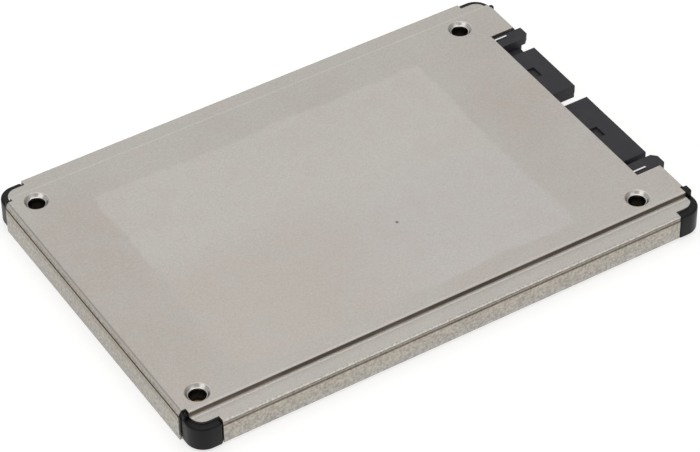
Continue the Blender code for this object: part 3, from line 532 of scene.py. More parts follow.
def pressed_cover(name, flange_drop, long_wall, short_wall, set_back, material, base=False):
    """A cover folded from its blank, with four dimples, and turned over when it is the base."""
    fold = BASE_FOLD if base else TOP_FOLD
    end, edge = (half - set_back for half in CASE_HALF)
    sizes = (edge, end, flange_drop, long_wall, short_wall, fold)
    grid, xs, ys, side_count, ear_count = folded(*sizes, 0.0)
    behind = folded(*sizes, SHEET)[0]
    keep = kept_cells(xs, ys, side_count, ear_count)
    skins = [grid.reshape(-1, 3)], [behind.reshape(-1, 3)]
    faces = [cells(len(xs), len(ys))[keep]]
    count = len(skins[0][0])
    for skin, rings in zip(skins, dimple_rings()):
        sunk = 0.0 if skin is skins[0] else SHEET
        for middle_x in DIMPLE_X:
            for middle_y in (-DIMPLE_Y, DIMPLE_Y):
                span_x = inside_span(xs, middle_x)
                span_y = inside_span(ys, middle_y)
                square = square_of(span_x, span_y)
                patch = dimple_patch(square, np.array([middle_x, middle_y]), rings)
                x, y, depth = np.moveaxis(patch, -1, 0)
                depth[:FLAT_RINGS] = sunk
                skin.append(np.stack([x, y, TOP - dish(x, y) - depth], -1).reshape(-1, 3))
                if skin is skins[0]:
                    number, after = numbered(patch)
                    ring = np.stack([number[:-1], after[:-1], after[1:], number[1:]], axis=-1)
                    faces.append(ring.reshape(-1, 4) + count)
                    count += number.size
    face, back = np.concatenate(skins[0]), np.concatenate(skins[1])
    chosen, faces = merged(face, np.concatenate(faces))
    points, faces = closed_sheet(face[chosen], back[chosen], faces)
    if base:
        points[:, 2] = TOP - points[:, 2]
        faces = faces[:, ::-1]
    return make_piece("pressed_" + name, points, without_collapsed(faces), material, name)


# %% [markdown]
# ## Finishes from small bricks
#
# A finish here is a shader fed by patterns that are worked out from a place on the object, in
# millimetres. A few bricks do nearly all of it: a noise, a band that is one between two places and
# fades outside them, and a mix of two values. Image textures could carry more detail, but patterns
# like these have no seams, stay sharp in a close view and follow the part wherever it is used.

# %% Bricks for patterns
class Finish:
    """A Principled shader and the nodes that feed it, on Object coordinates in millimetres."""

    def __init__(self, name, colour, roughness, metallic=0.0):
        self.material = bpy.data.materials.new(name)
        self.material.use_nodes = True
        self.tree = self.material.node_tree
        self.shader = self.tree.nodes["Principled BSDF"]
        self.shader.inputs["Base Color"].default_value = (*colour, 1.0)
        self.shader.inputs["Roughness"].default_value = roughness
        self.shader.inputs["Metallic"].default_value = metallic
        self.material.diffuse_color = (*colour, 1.0)
        where = self.node("ShaderNodeTexCoord")
        scale = self.node("ShaderNodeMapping")
        scale.inputs["Scale"].default_value = (1 / MM, 1 / MM, 1 / MM)
        self.link(where.outputs["Object"], scale.inputs["Vector"])
        self.place = scale.outputs["Vector"]
        axes = self.node("ShaderNodeSeparateXYZ")
        self.link(self.place, axes.inputs["Vector"])
        self.x, self.y, self.z = axes.outputs

    def node(self, kind):
        return self.tree.nodes.new(kind)

    def link(self, source, target):
        self.tree.links.new(source, target)

    def put(self, socket, value):
        """Sets a socket to a number or colour, or links it to another node's output."""
        if isinstance(value, bpy.types.NodeSocket):
            self.link(value, socket)
        else:
            socket.default_value = (*value, 1.0) if socket.type == "RGBA" else value

    def sum(self, operation, a, b=0.0, clamp=False):
        """One step of arithmetic between two values."""
        made = self.node("ShaderNodeMath")
        made.operation = operation
        made.use_clamp = clamp
        self.put(made.inputs[0], a)
        self.put(made.inputs[1], b)
        return made.outputs[0]

    def times(self, a, b):
        return self.sum("MULTIPLY", a, b)

    def most(self, first, *others):
        """The largest of several values."""
        for value in others:
            first = self.sum("MAXIMUM", first, value)
        return first

    def noise(self, size, detail=2.0, stretch=(1.0, 1.0, 1.0), sharpness=0.55):
        """A noise with blobs about size millimetres across, divided by stretch on each axis."""
        place = self.place
        if stretch != (1.0, 1.0, 1.0):
            shaped = self.node("ShaderNodeMapping")
            shaped.inputs["Scale"].default_value = stretch
            self.link(place, shaped.inputs["Vector"])
            place = shaped.outputs["Vector"]
        made = self.node("ShaderNodeTexNoise")
        made.inputs["Scale"].default_value = 1 / size
        made.inputs["Detail"].default_value = detail
        made.inputs["Roughness"].default_value = sharpness
        self.link(place, made.inputs["Vector"])
        return made.outputs["Fac"]

    def ramp(self, value, low, high, to_low=0.0, to_high=1.0):
        """A value carried smoothly from low..high to to_low..to_high, and held outside them."""
        made = self.node("ShaderNodeMapRange")
        made.interpolation_type = "SMOOTHSTEP"
        self.put(made.inputs["Value"], value)
        limits = {"From Min": low, "From Max": high, "To Min": to_low, "To Max": to_high}
        for name, number in limits.items():
            made.inputs[name].default_value = number
        return made.outputs["Result"]

    def band(self, value, low, high, soft):
        """One between low and high, fading to nothing over soft outside them."""
        rise = self.ramp(value, low - soft, low)
        fall = self.ramp(value, high, high + soft, 1.0, 0.0)
        return self.times(rise, fall)

    def mix(self, share, first, second, blend="MIX"):
        """A colour that goes from first to second as share goes from nothing to one."""
        made = self.node("ShaderNodeMix")
        made.data_type = "RGBA"
        made.blend_type = blend
        self.put(made.inputs["Factor"], share)
        colours = [socket for socket in made.inputs if socket.type == "RGBA"]
        for socket, colour in zip(colours, (first, second)):
            self.put(socket, colour)
        return next(socket for socket in made.outputs if socket.type == "RGBA")

    def shade(self, colour, factor):
        """A colour made brighter or darker by a factor that varies over the surface."""
        grey = self.node("ShaderNodeCombineColor")
        for socket in grey.inputs:
            self.link(factor, socket)
        return self.mix(1.0, colour, grey.outputs[0], "MULTIPLY")

    def bump(self, height, depth):
        """Lifts the surface by height times depth, in millimetres, for the light only."""
        made = self.node("ShaderNodeBump")
        made.inputs["Strength"].default_value = 1.0
        made.inputs["Distance"].default_value = depth * MM
        self.link(height, made.inputs["Height"])
        self.link(made.outputs["Normal"], self.shader.inputs["Normal"])

    def colour(self, value):
        self.put(self.shader.inputs["Base Color"], value)

    def rough(self, value):
        self.put(self.shader.inputs["Roughness"], value)


# %% [markdown]
# ## Nickel-plated sheet
#
# The covers are plated steel with a satin grain. Handling has left them warm in some places and
# cool in others, and a label that was peeled off long ago has kept one rectangle cleaner than the
# rest. Shade is painted into the colour where two sheets meet, in the seams and along the step,
# with some grime; the walls get a darker copy of the nickel as painted shade; and highlights are
# painted on the wall rim, the step's brow and foot and the dimples. The colour is therefore mixed
# in layers, from the largest stain to the smallest grain, and each layer is weak enough that it is
# only missed when it is gone.

# %% Nickel sheet
WARM_NICKEL = (0.478, 0.441, 0.404)
COOL_NICKEL = (0.502, 0.482, 0.452)
CLEAN_NICKEL = (0.545, 0.523, 0.488)
WARM_STAIN, PALE_STAIN = (0.507, 0.468, 0.430), (0.533, 0.507, 0.486)
ROSE_STAIN, GREY_STAIN = (0.520, 0.474, 0.448), (0.505, 0.492, 0.462)
# This dark colour is painted shade in the seams and steps, with some grime, and one speck of dirt.
GRIME_AND_SHADE = (0.086, 0.064, 0.047)
# The wall colours are a darker copy of the nickel: painted shade, warmer towards the top.
SHADED_WALL_TOP, SHADED_WALL_FOOT = (0.430, 0.396, 0.344), (0.430, 0.412, 0.384)
# These three colours are painted highlights: rim and step brow, the step foot, the dimple walls.
RIM_HIGHLIGHT, FOOT_HIGHLIGHT = (0.610, 0.590, 0.552), (0.840, 0.800, 0.745)
DIMPLE_HIGHLIGHT = (0.740, 0.718, 0.690)
SHIFT_MM = CASE_SHIFT / MM
LABEL_X, LABEL_Y = (-28.3 + SHIFT_MM, 22.4 + SHIFT_MM), (-20.4, 17.4)
FLANGE_TO_FIELD = (4.4, 4.8)
DIMPLE_MIDDLE = sum(DIMPLE_X) / 2
SPECK = (2.79 + SHIFT_MM, -8.14, 5.0)


def stained_plate(sheet, clouds, stain):
    """Warm and cool patches, the cleaner rectangle of the label, and blotches over both."""
    wander = sheet.times(sheet.sum("SUBTRACT", clouds, 0.5), 1.8)
    from_middle = sheet.sum("ABSOLUTE", sheet.sum("ADD", sheet.x, 2.0))
    warm = sheet.ramp(from_middle, 17.0, 34.0, 0.15, 0.85)
    warm = sheet.times(warm, sheet.ramp(sheet.y, 14.0, 24.0, 1.0, 0.4))
    warm = sheet.most(warm, sheet.ramp(sheet.y, -23.0, -16.0, 0.6, 0.0))
    cool = sheet.times(sheet.ramp(sheet.x, 17.0, 24.0), sheet.ramp(sheet.y, -8.0, 8.0, 0.45, 0.0))
    warm = sheet.sum("SUBTRACT", warm, cool)
    warm = sheet.times(warm, sheet.ramp(sheet.z, *FLANGE_TO_FIELD, 0.5, 1.0))
    patches = sheet.times(wander, sheet.ramp(sheet.z, *FLANGE_TO_FIELD, 0.3, 1.0))
    colour = sheet.mix(sheet.sum("ADD", warm, patches, clamp=True), COOL_NICKEL, WARM_NICKEL)

    ragged = sheet.times(sheet.sum("SUBTRACT", stain, 0.5), 2.4)
    label = sheet.ramp(sheet.z, 4.8, 4.95)
    for axis, edges in ((sheet.x, LABEL_X), (sheet.y, LABEL_Y)):
        label = sheet.times(label, sheet.band(sheet.sum("ADD", axis, ragged), *edges, 0.8))
    far_half = sheet.ramp(sheet.sum("ADD", sheet.y, sheet.times(wander, 9.0)), -7.0, 5.0)
    stained = sheet.mix(sheet.ramp(sheet.x, -14.0, 8.0), WARM_STAIN, PALE_STAIN)
    colour = sheet.mix(label, colour, sheet.mix(far_half, stained, CLEAN_NICKEL))
    blotch = sheet.noise(4.0, 3.0, sharpness=0.6)
    colour = sheet.mix(sheet.ramp(blotch, 0.44, 0.62, 0.0, 0.4), colour, ROSE_STAIN)
    return sheet.mix(sheet.ramp(blotch, 0.4, 0.52, 0.3, 0.0), colour, GREY_STAIN)


def painted_highlights(sheet, colour, side, punch_polish_and_highlight):
    """The colour with painted highlights: wall rim, step brow, step foot and dimples."""
    # Painted highlights: the wall rim and the step's brow are lightened where rolled edges catch
    # lamps.
    rim = sheet.times(sheet.ramp(side, 26.74, 26.80), sheet.band(sheet.z, 4.04, 4.26, 0.05))
    brow = sheet.ramp(sheet.z, 4.75, 4.85, 0.0, 0.45)
    brow = sheet.times(sheet.band(side, 23.66, 23.93, 0.06), brow)
    # The step's foot is painted much lighter: a painted highlight of the light bounced there.
    foot = sheet.times(sheet.band(side, 24.0, 24.45, 0.25), sheet.band(sheet.z, 4.2, 4.4, 0.05))
    colour = sheet.mix(sheet.most(rim, brow), colour, RIM_HIGHLIGHT)
    return sheet.mix(foot, sheet.mix(punch_polish_and_highlight, colour, DIMPLE_HIGHLIGHT), FOOT_HIGHLIGHT)


def dark_lines(sheet, side, long_wall, short_wall):
    """Painted shade, with some grime, at each place: the largest share of the lines that meet
    there.
    """
    # All of these lines are painted shade with some grime: seams, the bands under the rims, the
    # step walls.
    step = sheet.band(side, 23.88, 24.05, 0.03)
    low_step = sheet.band(side, 23.9, 24.02, 0.04)
    # Each line has a side it lies on, its lowest and highest z, how softly it ends, and its share.
    lines = [
        (long_wall, 3.38, 3.60, 0.06, 0.6375),
        (long_wall, 3.83, 3.95, 0.05, 0.527),
        (long_wall, 3.5, 4.02, 0.05, 0.26),
        (short_wall, 4.01, 4.22, 0.05, 0.85),
        (short_wall, 3.2, 4.0, 0.15, 0.17),
        (step, 4.30, 4.84, 0.03, 0.88),
        (low_step, 0.12, 0.42, 0.08, 0.88),
    ]
    shares = [
        sheet.times(sheet.times(where, sheet.band(sheet.z, *heights)), share)
        for where, *heights, share in lines
    ]
    return sheet.most(*shares)


def nickel_sheet():
    """Satin plated steel, from its stains to its grain, on the plate and down the walls."""
    sheet = Finish("nickel_sheet", COOL_NICKEL, 0.42, 1.0)
    clouds = sheet.noise(17.0, 3.0)
    stain = sheet.noise(7.0, 4.0)
    side = sheet.sum("ABSOLUTE", sheet.y)
    end = sheet.sum("ABSOLUTE", sheet.sum("SUBTRACT", sheet.x, SHIFT_MM))
    long_wall = sheet.ramp(side, 26.70, 26.82)
    short_wall = sheet.ramp(end, 38.98, 39.08)
    wall = sheet.most(long_wall, short_wall)
    # The walls take a darker, yellower copy of the nickel than the plate: painted shade.
    shaded_wall_colour = sheet.mix(sheet.ramp(sheet.z, 0.4, 3.0), SHADED_WALL_FOOT, SHADED_WALL_TOP)
    colour = sheet.mix(wall, stained_plate(sheet, clouds, stain), shaded_wall_colour)

    # A paler ring inside each dimple is a painted highlight; its lower roughness is the punch's
    # polish.
    across = sheet.sum("ABSOLUTE", sheet.sum("SUBTRACT", sheet.x, DIMPLE_MIDDLE))
    across = sheet.sum("SUBTRACT", across, DIMPLE_X[1] - DIMPLE_MIDDLE)
    along = sheet.sum("SUBTRACT", side, DIMPLE_Y)
    apart = sheet.sum("ADD", sheet.times(across, across), sheet.times(along, along))
    punch_polish_and_highlight = sheet.ramp(sheet.sum("SQRT", apart), 1.28, 1.6, 0.85, 0.0)
    colour = painted_highlights(sheet, colour, side, punch_polish_and_highlight)

    grain = sheet.noise(0.16, 2.0, sharpness=0.6)
    coarse = sheet.noise(0.42, 3.0, sharpness=0.7)
    fine_part = sheet.ramp(grain, 0.25, 0.75, 0.915, 1.085)
    speckle = sheet.sum("ADD", fine_part, sheet.ramp(coarse, 0.3, 0.7, -0.035, 0.035))
    rougher = sheet.times(wall, sheet.ramp(coarse, 0.3, 0.7, -0.22, 0.18))
    colour = sheet.shade(colour, sheet.sum("ADD", speckle, rougher))

    # Painted shade with some grime darkens the seams, the bands under the rims and the step walls
    # here.
    shade_and_grime = dark_lines(sheet, side, long_wall, short_wall)
    shade_and_grime = sheet.sum("MULTIPLY", shade_and_grime, sheet.ramp(stain, 0.2, 0.6, 0.82, 1.0), clamp=True)
    # One dark speck of dirt on the plate takes the same colour.
    speck = sheet.node("ShaderNodeVectorMath")
    speck.operation = "DISTANCE"
    sheet.link(sheet.place, speck.inputs[0])
    speck.inputs[1].default_value = SPECK
    dot = sheet.ramp(speck.outputs["Value"], 0.12, 0.32, 0.75, 0.0)
    sheet.colour(sheet.mix(dot, sheet.mix(shade_and_grime, colour, GRIME_AND_SHADE), GRIME_AND_SHADE))
    rough = sheet.sum("ADD", sheet.ramp(clouds, 0.3, 0.7, 0.40, 0.46), sheet.times(shade_and_grime, 0.2))
    sheet.rough(sheet.sum("SUBTRACT", rough, sheet.times(punch_polish_and_highlight, 0.22)))
    height = sheet.sum("ADD", sheet.times(grain, 0.5), coarse)
    sheet.bump(sheet.times(height, sheet.ramp(wall, 0.0, 1.0, 0.45, 1.0)), 0.02)
    return sheet.material


# %% Plastics
def moulded_plastic(name, colour, bloom, roughness, grain_size, grain_depth, shine):
    """Moulded plastic: a spark-eroded grain, and a faint bloom where hands have rubbed it."""
    plastic = Finish(name, colour, roughness)
    grain = plastic.noise(grain_size, 3.0, sharpness=0.6)
    rubbed = plastic.noise(2.4, 3.0)
    plastic.colour(plastic.mix(plastic.ramp(rubbed, 0.5, 0.8, 0.0, 0.35), colour, bloom))
    plastic.rough(plastic.ramp(rubbed, 0.3, 0.7, roughness - 0.06, roughness + 0.08))
    plastic.bump(grain, grain_depth)
    plastic.shader.inputs["Specular IOR Level"].default_value = shine
    return plastic.material


# %% Metals, board and small parts
def plated(name, colour, roughness, streak=(1.0, 6.0, 6.0)):
    """Plated metal: fine drawing marks along x, and a slightly uneven plate."""
    metal = Finish(name, colour, roughness, 1.0)
    marks = metal.noise(0.3, 3.0, streak, 0.6)
    patch = metal.noise(1.1, 2.0)
    metal.colour(metal.shade(colour, metal.ramp(marks, 0.3, 0.7, 0.88, 1.06)))
    metal.rough(metal.ramp(patch, 0.3, 0.7, roughness - 0.05, roughness + 0.1))
    metal.bump(marks, 0.003)
    return metal.material


def speckled(name, colour, other, roughness, size, depth):
    """A matt body with fine filler of a second colour in it."""
    body = Finish(name, colour, roughness)
    filler = body.noise(size, 4.0, sharpness=0.65)
    body.colour(body.mix(body.ramp(filler, 0.45, 0.7), colour, other))
    body.rough(body.ramp(filler, 0.3, 0.7, roughness - 0.05, roughness + 0.05))
    body.bump(filler, depth)
    return body.material


# A plastic has a colour, the colour of its bloom, roughness, grain size, grain depth and shine.
PLASTICS = {
    "black_plastic": [(0.0035, 0.0031, 0.0038), (0.0065, 0.0058, 0.0062), 0.36, 0.12, 0.005, 0.2],
    "plug_plastic": [(0.0275, 0.0255, 0.0315), (0.042, 0.039, 0.046), 0.62, 0.10, 0.008, 0.34],
}
# A plated metal has a colour and a roughness.
METALS = {
    "gold_plate": [(0.83, 0.62, 0.28), 0.25],
    "tinned_steel": [(0.82, 0.81, 0.79), 0.3],
    "brass": [(0.62, 0.44, 0.19), 0.3],
}
# A speckled body has two colours, a roughness, and the size and depth of its filler.
BODIES = {
    "board_laminate": [(0.012, 0.085, 0.035), (0.02, 0.12, 0.05), 0.4, 0.8, 0.01],
    "package_epoxy": [(0.02, 0.02, 0.022), (0.045, 0.045, 0.048), 0.55, 0.15, 0.006],
    "thermal_pad": [(0.42, 0.47, 0.53), (0.5, 0.55, 0.6), 0.8, 0.5, 0.02],
    "insulating_film": [(0.55, 0.38, 0.12), (0.6, 0.45, 0.18), 0.3, 2.0, 0.005],
    "ferrite": [(0.05, 0.05, 0.055), (0.1, 0.1, 0.105), 0.7, 0.2, 0.01],
    "ceramic": [(0.42, 0.3, 0.2), (0.5, 0.38, 0.26), 0.5, 0.3, 0.006],
}
FINISHES = {"nickel_sheet": nickel_sheet()}
for make, kinds in ((moulded_plastic, PLASTICS), (plated, METALS), (speckled, BODIES)):
    FINISHES.update({name: make(name, *settings) for name, settings in kinds.items()})
for node in nodes.values():
    for slot in node.material_slots:
        slot.material = FINISHES[slot.material.name.split(".")[0]]
print("finishes:", len(FINISHES))

# %% Press the covers
TOP_SEAMS = {"long_wall": TOP - 3.55, "short_wall": TOP - 4.18}
BASE_SEAMS = {"long_wall": 3.43, "short_wall": 4.06}
nickel = FINISHES["nickel_sheet"]
top = pressed_cover("top_cover", 0.7, **TOP_SEAMS, set_back=0.08, material=nickel)
tray = pressed_cover("base_tray", 0.45, **BASE_SEAMS, set_back=0.0, material=nickel, base=True)
print("faces of the covers:", len(top.data.polygons), len(tray.data.polygons))

# %% [markdown]
# ## The moulded frame: profiles carried along paths
#
# Between the covers lies a black moulded frame, and all that shows of it is the four corner guards
# that take the knocks. Each guard is one profile, a rounded bar seen end on, carried along a path
# that turns the corner. At both ends the profile shrinks a little, as moulded parts do to leave
# their tool. Beside each guard a tooth stands up through a notch in the covers, and the second
# corner, at the near side of the plug, has a wider one. A bevelled box could stand in for a tooth,
# but here an outline is given rolled upper and lower edges instead, which works for any outline
# and is used again further on.

# %% Outlines and rolled bodies
def corner_round(points, radii, steps, closed=True):
    """An outline or path whose inner corners are arcs that touch the two runs beside them.

    For a turn through phi an arc of radius r starts r tan(phi / 2) before the corner.
    """
    points = np.asarray(points, float)
    parts = [] if closed else [points[:1]]
    indices = range(len(points)) if closed else range(1, len(points) - 1)
    for index in indices:
        here = points[index]
        arriving = here - points[index - 1]
        leaving = points[(index + 1) % len(points)] - here
        arriving, leaving = arriving / np.linalg.norm(arriving), leaving / np.linalg.norm(leaving)
        turn_by = math.atan2(
            arriving[0] * leaving[1] - arriving[1] * leaving[0], float(arriving @ leaving)
        )
        radius = radii[index] if np.ndim(radii) else radii
        start = here - arriving * radius * math.tan(abs(turn_by) / 2)
        left = np.array([-arriving[1], arriving[0]]) * math.copysign(radius, turn_by)
        t = np.linspace(0, turn_by, steps + 1)
        spoke = -left[:, None] * np.cos(t) + np.array([left[1], -left[0]])[:, None] * np.sin(t)
        parts.append((start + left)[None, :] + spoke.T)
    if not closed:
        parts.append(points[-1:])
    return np.concatenate(parts)


def outward(outline, closed=True):
    """For each point, the way out of the outline, long enough that walls move by exactly one."""
    run = np.roll(outline, -1, axis=0) - outline
    run = run / np.maximum(np.linalg.norm(run, axis=1, keepdims=True), 1e-12)
    normal = np.stack([run[:, 1], -run[:, 0]], axis=-1)
    before = np.roll(normal, 1, axis=0)
    if not closed:
        normal[-1] = before[-1]
        before[0] = normal[0]
    return (normal + before) / (1 + (normal * before).sum(axis=1, keepdims=True))


def facing_out(points, faces):
    """The faces, turned round if they enclose less than nothing."""
    triangles = np.concatenate([[[f[0], b, c] for b, c in zip(f[1:], f[2:])] for f in faces])
    a, b, c = (points[triangles[:, k]] for k in range(3))
    if (a * np.cross(b, c)).sum() < 0:
        return [face[::-1] for face in faces]
    return faces


def ring_body(points):
    """A closed body from rows that close on themselves, the last of which joins the first."""
    number, beside = numbered(points)
    above, both = np.roll(number, -1, axis=0), np.roll(beside, -1, axis=0)
    faces = np.stack([number, beside, both, above], axis=-1).reshape(-1, 4).tolist()
    points = points.reshape(-1, 3)
    return points, facing_out(points, faces)


def rolled_body(outline, low, high, roll_low, roll_high, steps=4):
    """An outline given height. Its walls roll in at both ends round a quarter circle.

    On a roll of radius r the outline moves in by r (1 - cos t) while it rises by r sin t.
    """
    t = np.linspace(math.pi / 2, 0, steps + 1)
    below = np.stack([roll_low * (1 - np.cos(t)), low + roll_low * (1 - np.sin(t))], axis=-1)
    above = np.stack([roll_high * (1 - np.cos(t)), high - roll_high * (1 - np.sin(t))], axis=-1)
    rows = np.concatenate([below, above[::-1]])
    plan = outline[None] - outward(outline)[None] * rows[:, 0][:, None, None]
    height = np.broadcast_to(rows[:, 1][:, None, None], plan.shape[:2] + (1,))
    points = np.concatenate([plan, height], axis=-1)
    number, after = numbered(points)
    walls = np.stack([number[:-1], after[:-1], after[1:], number[1:]], axis=-1).reshape(-1, 4)
    faces = walls.tolist() + [number[0, ::-1].tolist(), number[-1].tolist()]
    points = points.reshape(-1, 3)
    return points, facing_out(points, faces)


def carried(path, profile, end_roll=0.0, steps=3):
    """A closed profile of (distance in, height) carried along an open path in plan.

    Near each end the profile shrinks by r (1 - cos t) while the path still has r (1 - sin t) to
    run, which rounds the ends off.
    """
    inward = -outward(path, closed=False)
    shrink = outward(profile)
    t = np.linspace(0, math.pi / 2, steps + 1)
    start_way = path[1] - path[0]
    start_way = start_way / np.linalg.norm(start_way)
    end_way = path[-1] - path[-2]
    end_way = end_way / np.linalg.norm(end_way)
    lead = path[0] + start_way * (end_roll * (1 - np.sin(t)))[:, None]
    tail = path[-1] - end_way * (end_roll * (1 - np.sin(t)))[:, None]
    places = np.concatenate([lead[::-1], path[1:-1], tail])
    first_ways, last_ways = (np.tile(inward[k], (steps + 1, 1)) for k in (0, -1))
    ways = np.concatenate([first_ways, inward[1:-1], last_ways])
    small = end_roll * (1 - np.cos(t))
    less = np.concatenate([small[::-1], np.zeros(len(path) - 2), small])
    section = profile[None] - shrink[None] * less[:, None, None]
    plan = places[:, None, :] + ways[:, None, :] * section[..., :1]
    points = np.concatenate([plan, section[..., 1:]], axis=-1)
    number, after = numbered(points)
    walls = np.stack([number[:-1], number[1:], after[1:], after[:-1]], axis=-1).reshape(-1, 4)
    points = points.reshape(-1, 3)
    faces = walls.tolist() + [number[0].tolist(), number[-1, ::-1].tolist()]
    return points, facing_out(points, faces)


def together(bodies):
    """Several closed bodies as one list of points and faces."""
    points, faces, count = [], [], 0
    for body_points, body_faces in bodies:
        points.append(body_points)
        faces += [[corner + count for corner in face] for face in body_faces]
        count += len(body_points)
    return np.concatenate(points), faces


def mirrored_body(body, sign_x, sign_y, shift=0.0):
    """A body made in the quadrant of +X and +Y, mirrored to another and moved along X."""
    points, faces = body
    points = points * (sign_x, sign_y, 1) + (shift, 0, 0)
    return points, facing_out(points, faces)


# %% Corner guards
GUARD_RADIUS = 2.5
GUARD_FROM = (35.25, 23.28)
GUARD_LOW, GUARD_HIGH = 0.28, 4.0
GUARD_DEPTH = 1.55
GUARD_ROLL = 0.32
TOOTH = ((38.43, 39.17), (23.22, 24.0), (0.3, 4.8))
WIDE_TOOTH = ((38.17, 39.17), (22.74, 24.0), (0.3, 4.95))


def corner_guard():
    """The guard in the quadrant of +X and +Y: a bar with rolled outer edges round the corner."""
    path = corner_round(
        [(CASE_HALF[0], GUARD_FROM[1]), CASE_HALF, (GUARD_FROM[0], CASE_HALF[1])],
        [0, GUARD_RADIUS, 0],
        18,
        closed=False,
    )
    profile = corner_round(
        [(0, GUARD_LOW), (GUARD_DEPTH, GUARD_LOW), (GUARD_DEPTH, GUARD_HIGH), (0, GUARD_HIGH)],
        [GUARD_ROLL * 0.8, 0.05, 0.05, GUARD_ROLL],
        6,
    )
    return carried(path, profile, end_roll=0.36, steps=6)


def corner_tooth(block, corner, roll_high):
    """A block of (x, y, z) spans with its upright corners rounded and its ends rolled."""
    (x0, x1), (y0, y1), (low, high) = block
    outline = corner_round([(x0, y0), (x1, y0), (x1, y1), (x0, y1)], corner, 6)
    return rolled_body(outline, low, high, 0.1, roll_high, 5)


guard = corner_guard()
tooth, wide_tooth = corner_tooth(TOOTH, 0.3, 0.29), corner_tooth(WIDE_TOOTH, 0.16, 0.15)
quadrants = [(-1, -1), (1, -1), (1, 1), (-1, 1)]
for number, (sign_x, sign_y) in enumerate(quadrants, start=1):
    pair = (guard, wide_tooth if number == 2 else tooth)
    bodies = [mirrored_body(body, sign_x, sign_y, CORNER_SHIFT) for body in pair]
    points, faces = together(bodies)
    make_piece(f"corner_guard_{number}", points, faces, FINISHES["black_plastic"], "corner_frame")
print("faces in one guard:", len(guard[1]))

# %% Frame ring and screw bosses
RING_OUT = (38.85, 26.2)
RING_GAP = 17.9
RING_SECTION = [(0, 0.8), (2.2, 0.8), (2.2, 1.86), (0.6, 1.86), (0.6, 3.95), (0, 3.95)]
BOSS_RADIUS, BOSS_LOW, BOSS_HIGH = 2.4, 0.9, 4.1
BOSS_BORE, BOSS_MOUTH, BOSS_FLOOR = 1.6, 1.3, 2.55
WEB_OUT, WEB_LOW, WEB_HIGH = 25.8, 1.2, 3.8
ROUND_STEPS = 64


def turned_body(profile, centre, steps=ROUND_STEPS):
    """A closed profile of (radius, height) turned about an upright line through centre."""
    t = np.linspace(0, 2 * math.pi, steps, endpoint=False)
    plan = profile[:, :1, None] * np.stack([np.cos(t), np.sin(t)])[None]
    height = np.broadcast_to(profile[:, 1][:, None], (len(profile), steps))
    return ring_body(np.stack([plan[:, 0] + centre[0], plan[:, 1] + centre[1], height], axis=-1))


ring_path = corner_round(
    [
        (RING_OUT[0], RING_GAP),
        RING_OUT,
        (-RING_OUT[0], RING_OUT[1]),
        (-RING_OUT[0], -RING_OUT[1]),
        (RING_OUT[0], -RING_OUT[1]),
        (RING_OUT[0], -RING_GAP),
    ],
    GUARD_RADIUS,
    12,
    closed=False,
)
ring = carried(ring_path, corner_round(RING_SECTION, 0.08, 2), end_roll=0.06)
boss_profile = corner_round(
    [
        (BOSS_BORE, BOSS_LOW),
        (BOSS_RADIUS, BOSS_LOW),
        (BOSS_RADIUS, BOSS_HIGH),
        (BOSS_MOUTH, BOSS_HIGH),
        (BOSS_MOUTH, BOSS_FLOOR),
        (BOSS_BORE, BOSS_FLOOR),
    ],
    0.08,
    3,
)
bodies = [ring]
for x in DIMPLE_X:
    for sign_y in (-1, 1):
        bodies.append(turned_body(boss_profile, (x, sign_y * DIMPLE_Y)))
        left, right_end = x - BOSS_RADIUS / 2, x + BOSS_RADIUS / 2
        near, far = sign_y * (DIMPLE_Y + BOSS_BORE), sign_y * WEB_OUT
        square = [(left, near), (right_end, near), (right_end, far), (left, far)]
        web = corner_round(square[::sign_y], 0.1, 2)
        bodies.append(rolled_body(web, WEB_LOW, WEB_HIGH, 0.1, 0.1, 2))
make_piece("frame_ring", *together(bodies), FINISHES["black_plastic"], "corner_frame")

# %% [markdown]
# ## Threaded inserts
#
# A brass bush is pressed into each boss for the screw. Its thread is what tells the eye that a
# hole takes a screw, even when only a sliver of it catches the light. A thread is a plain bore
# whose radius rises and falls once for every pitch of height, and whose crest climbs one pitch a
# turn, so one formula in angle and height gives the whole wall.

# %% Threaded inserts
INSERT_RADIUS, INSERT_BORE, INSERT_LOW, INSERT_HIGH = 1.56, 0.9, 1.1, 2.5
THREAD_PITCH, THREAD_DEPTH = 0.35, 0.1
GRIP_LINES = 26
CHAMFER = 0.06


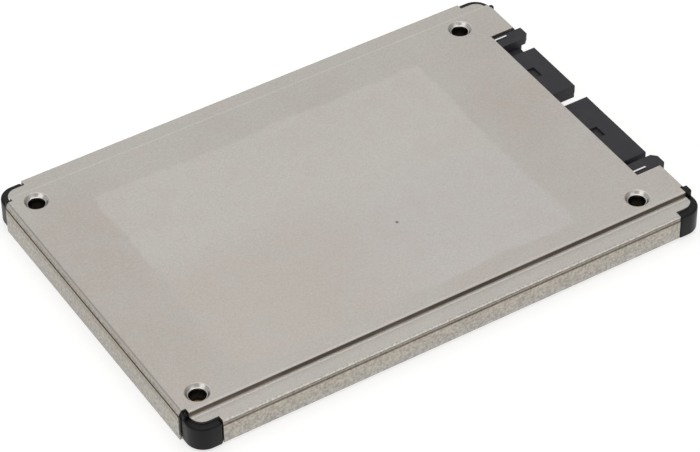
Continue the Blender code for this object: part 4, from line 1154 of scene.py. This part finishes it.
def threaded_insert(centre):
    """A bush whose bore has radius b + d |2 f - 1|, where f is the fraction part of the height
    over the pitch less the turn, and whose outside has upright grip ribs with a groove between.
    """
    t = np.linspace(0, 2 * math.pi, ROUND_STEPS, endpoint=False)[None, :]
    z = np.linspace(INSERT_LOW + CHAMFER, INSERT_HIGH - CHAMFER, 41)[:, None]
    part = np.mod(z / THREAD_PITCH - t / (2 * math.pi), 1.0)
    fade = np.clip(np.minimum(z - z[0], z[-1] - z) / 0.15, 0, 1)
    bore = INSERT_BORE + THREAD_DEPTH * (1 - fade * np.abs(2 * part - 1))
    bore_z = np.broadcast_to(z, bore.shape)
    out_z = np.linspace(INSERT_HIGH - CHAMFER, INSERT_LOW + CHAMFER, 21)[:, None]
    groove = np.clip(1 - np.abs(out_z - (INSERT_LOW + INSERT_HIGH) / 2) / 0.16, 0, 1)
    ribs = 0.03 * np.cos(GRIP_LINES * t) * (groove == 0) - 0.03
    outside = INSERT_RADIUS + ribs - 0.12 * np.minimum(groove * 3, 1)
    mouth, shoulder = (
        np.full_like(t, r) for r in (INSERT_BORE + THREAD_DEPTH + CHAMFER, INSERT_RADIUS - 0.08)
    )
    high_z, low_z = np.full_like(t, INSERT_HIGH), np.full_like(t, INSERT_LOW)
    radius = np.concatenate([bore, mouth, shoulder, outside, shoulder, mouth])
    out_z = np.broadcast_to(out_z, outside.shape)
    height = np.concatenate([bore_z, high_z, high_z, out_z, low_z, low_z])
    x, y = radius * np.cos(t) + centre[0], radius * np.sin(t) + centre[1]
    return ring_body(np.stack([x, y, height], axis=-1))


places = [(x, sign_y * DIMPLE_Y) for x in DIMPLE_X for sign_y in (-1, 1)]
for number, centre in enumerate(places, start=1):
    node = f"threaded_insert_{number}"
    make_piece(f"brass_insert_{number}", *threaded_insert(centre), FINISHES["brass"], node)

# %% [markdown]
# ## The plug
#
# The plug housing is one moulding full of small cuts: two tongues with pockets, slots for the
# nails and a channel for every contact. Its solid already has them all, so it is not drawn again.
# A copy is merged, its flat faces are made whole, and a narrow bevel gives every edge the small
# roll that moulded plastic has, which is what draws the fine light lines along real plastic edges.

# %% Plug housing
PLUG_ROLL = 0.045


def rolled_copy(node, name, width, segments=2):
    """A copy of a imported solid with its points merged, its flats whole and its edges bevelled."""
    mesh = nodes[node].data.copy()
    mesh.name = name
    body = bmesh.new()
    body.from_mesh(mesh)
    bmesh.ops.remove_doubles(body, verts=body.verts, dist=1e-6)
    bmesh.ops.dissolve_limit(body, angle_limit=math.radians(1), verts=body.verts, edges=body.edges)
    body.to_mesh(mesh)
    body.free()
    piece = dressed(name, mesh, node)
    bevel = piece.modifiers.new("edge_roll", "BEVEL")
    bevel.width = width * MM
    bevel.segments = segments
    bevel.limit_method = "ANGLE"
    bevel.angle_limit = math.radians(40)
    bevel.miter_outer = "MITER_ARC"
    bevel.harden_normals = True
    return piece


plug = rolled_copy("plug_housing", "moulded_plug", PLUG_ROLL)
print("plug faces before its bevel:", len(plug.data.polygons))
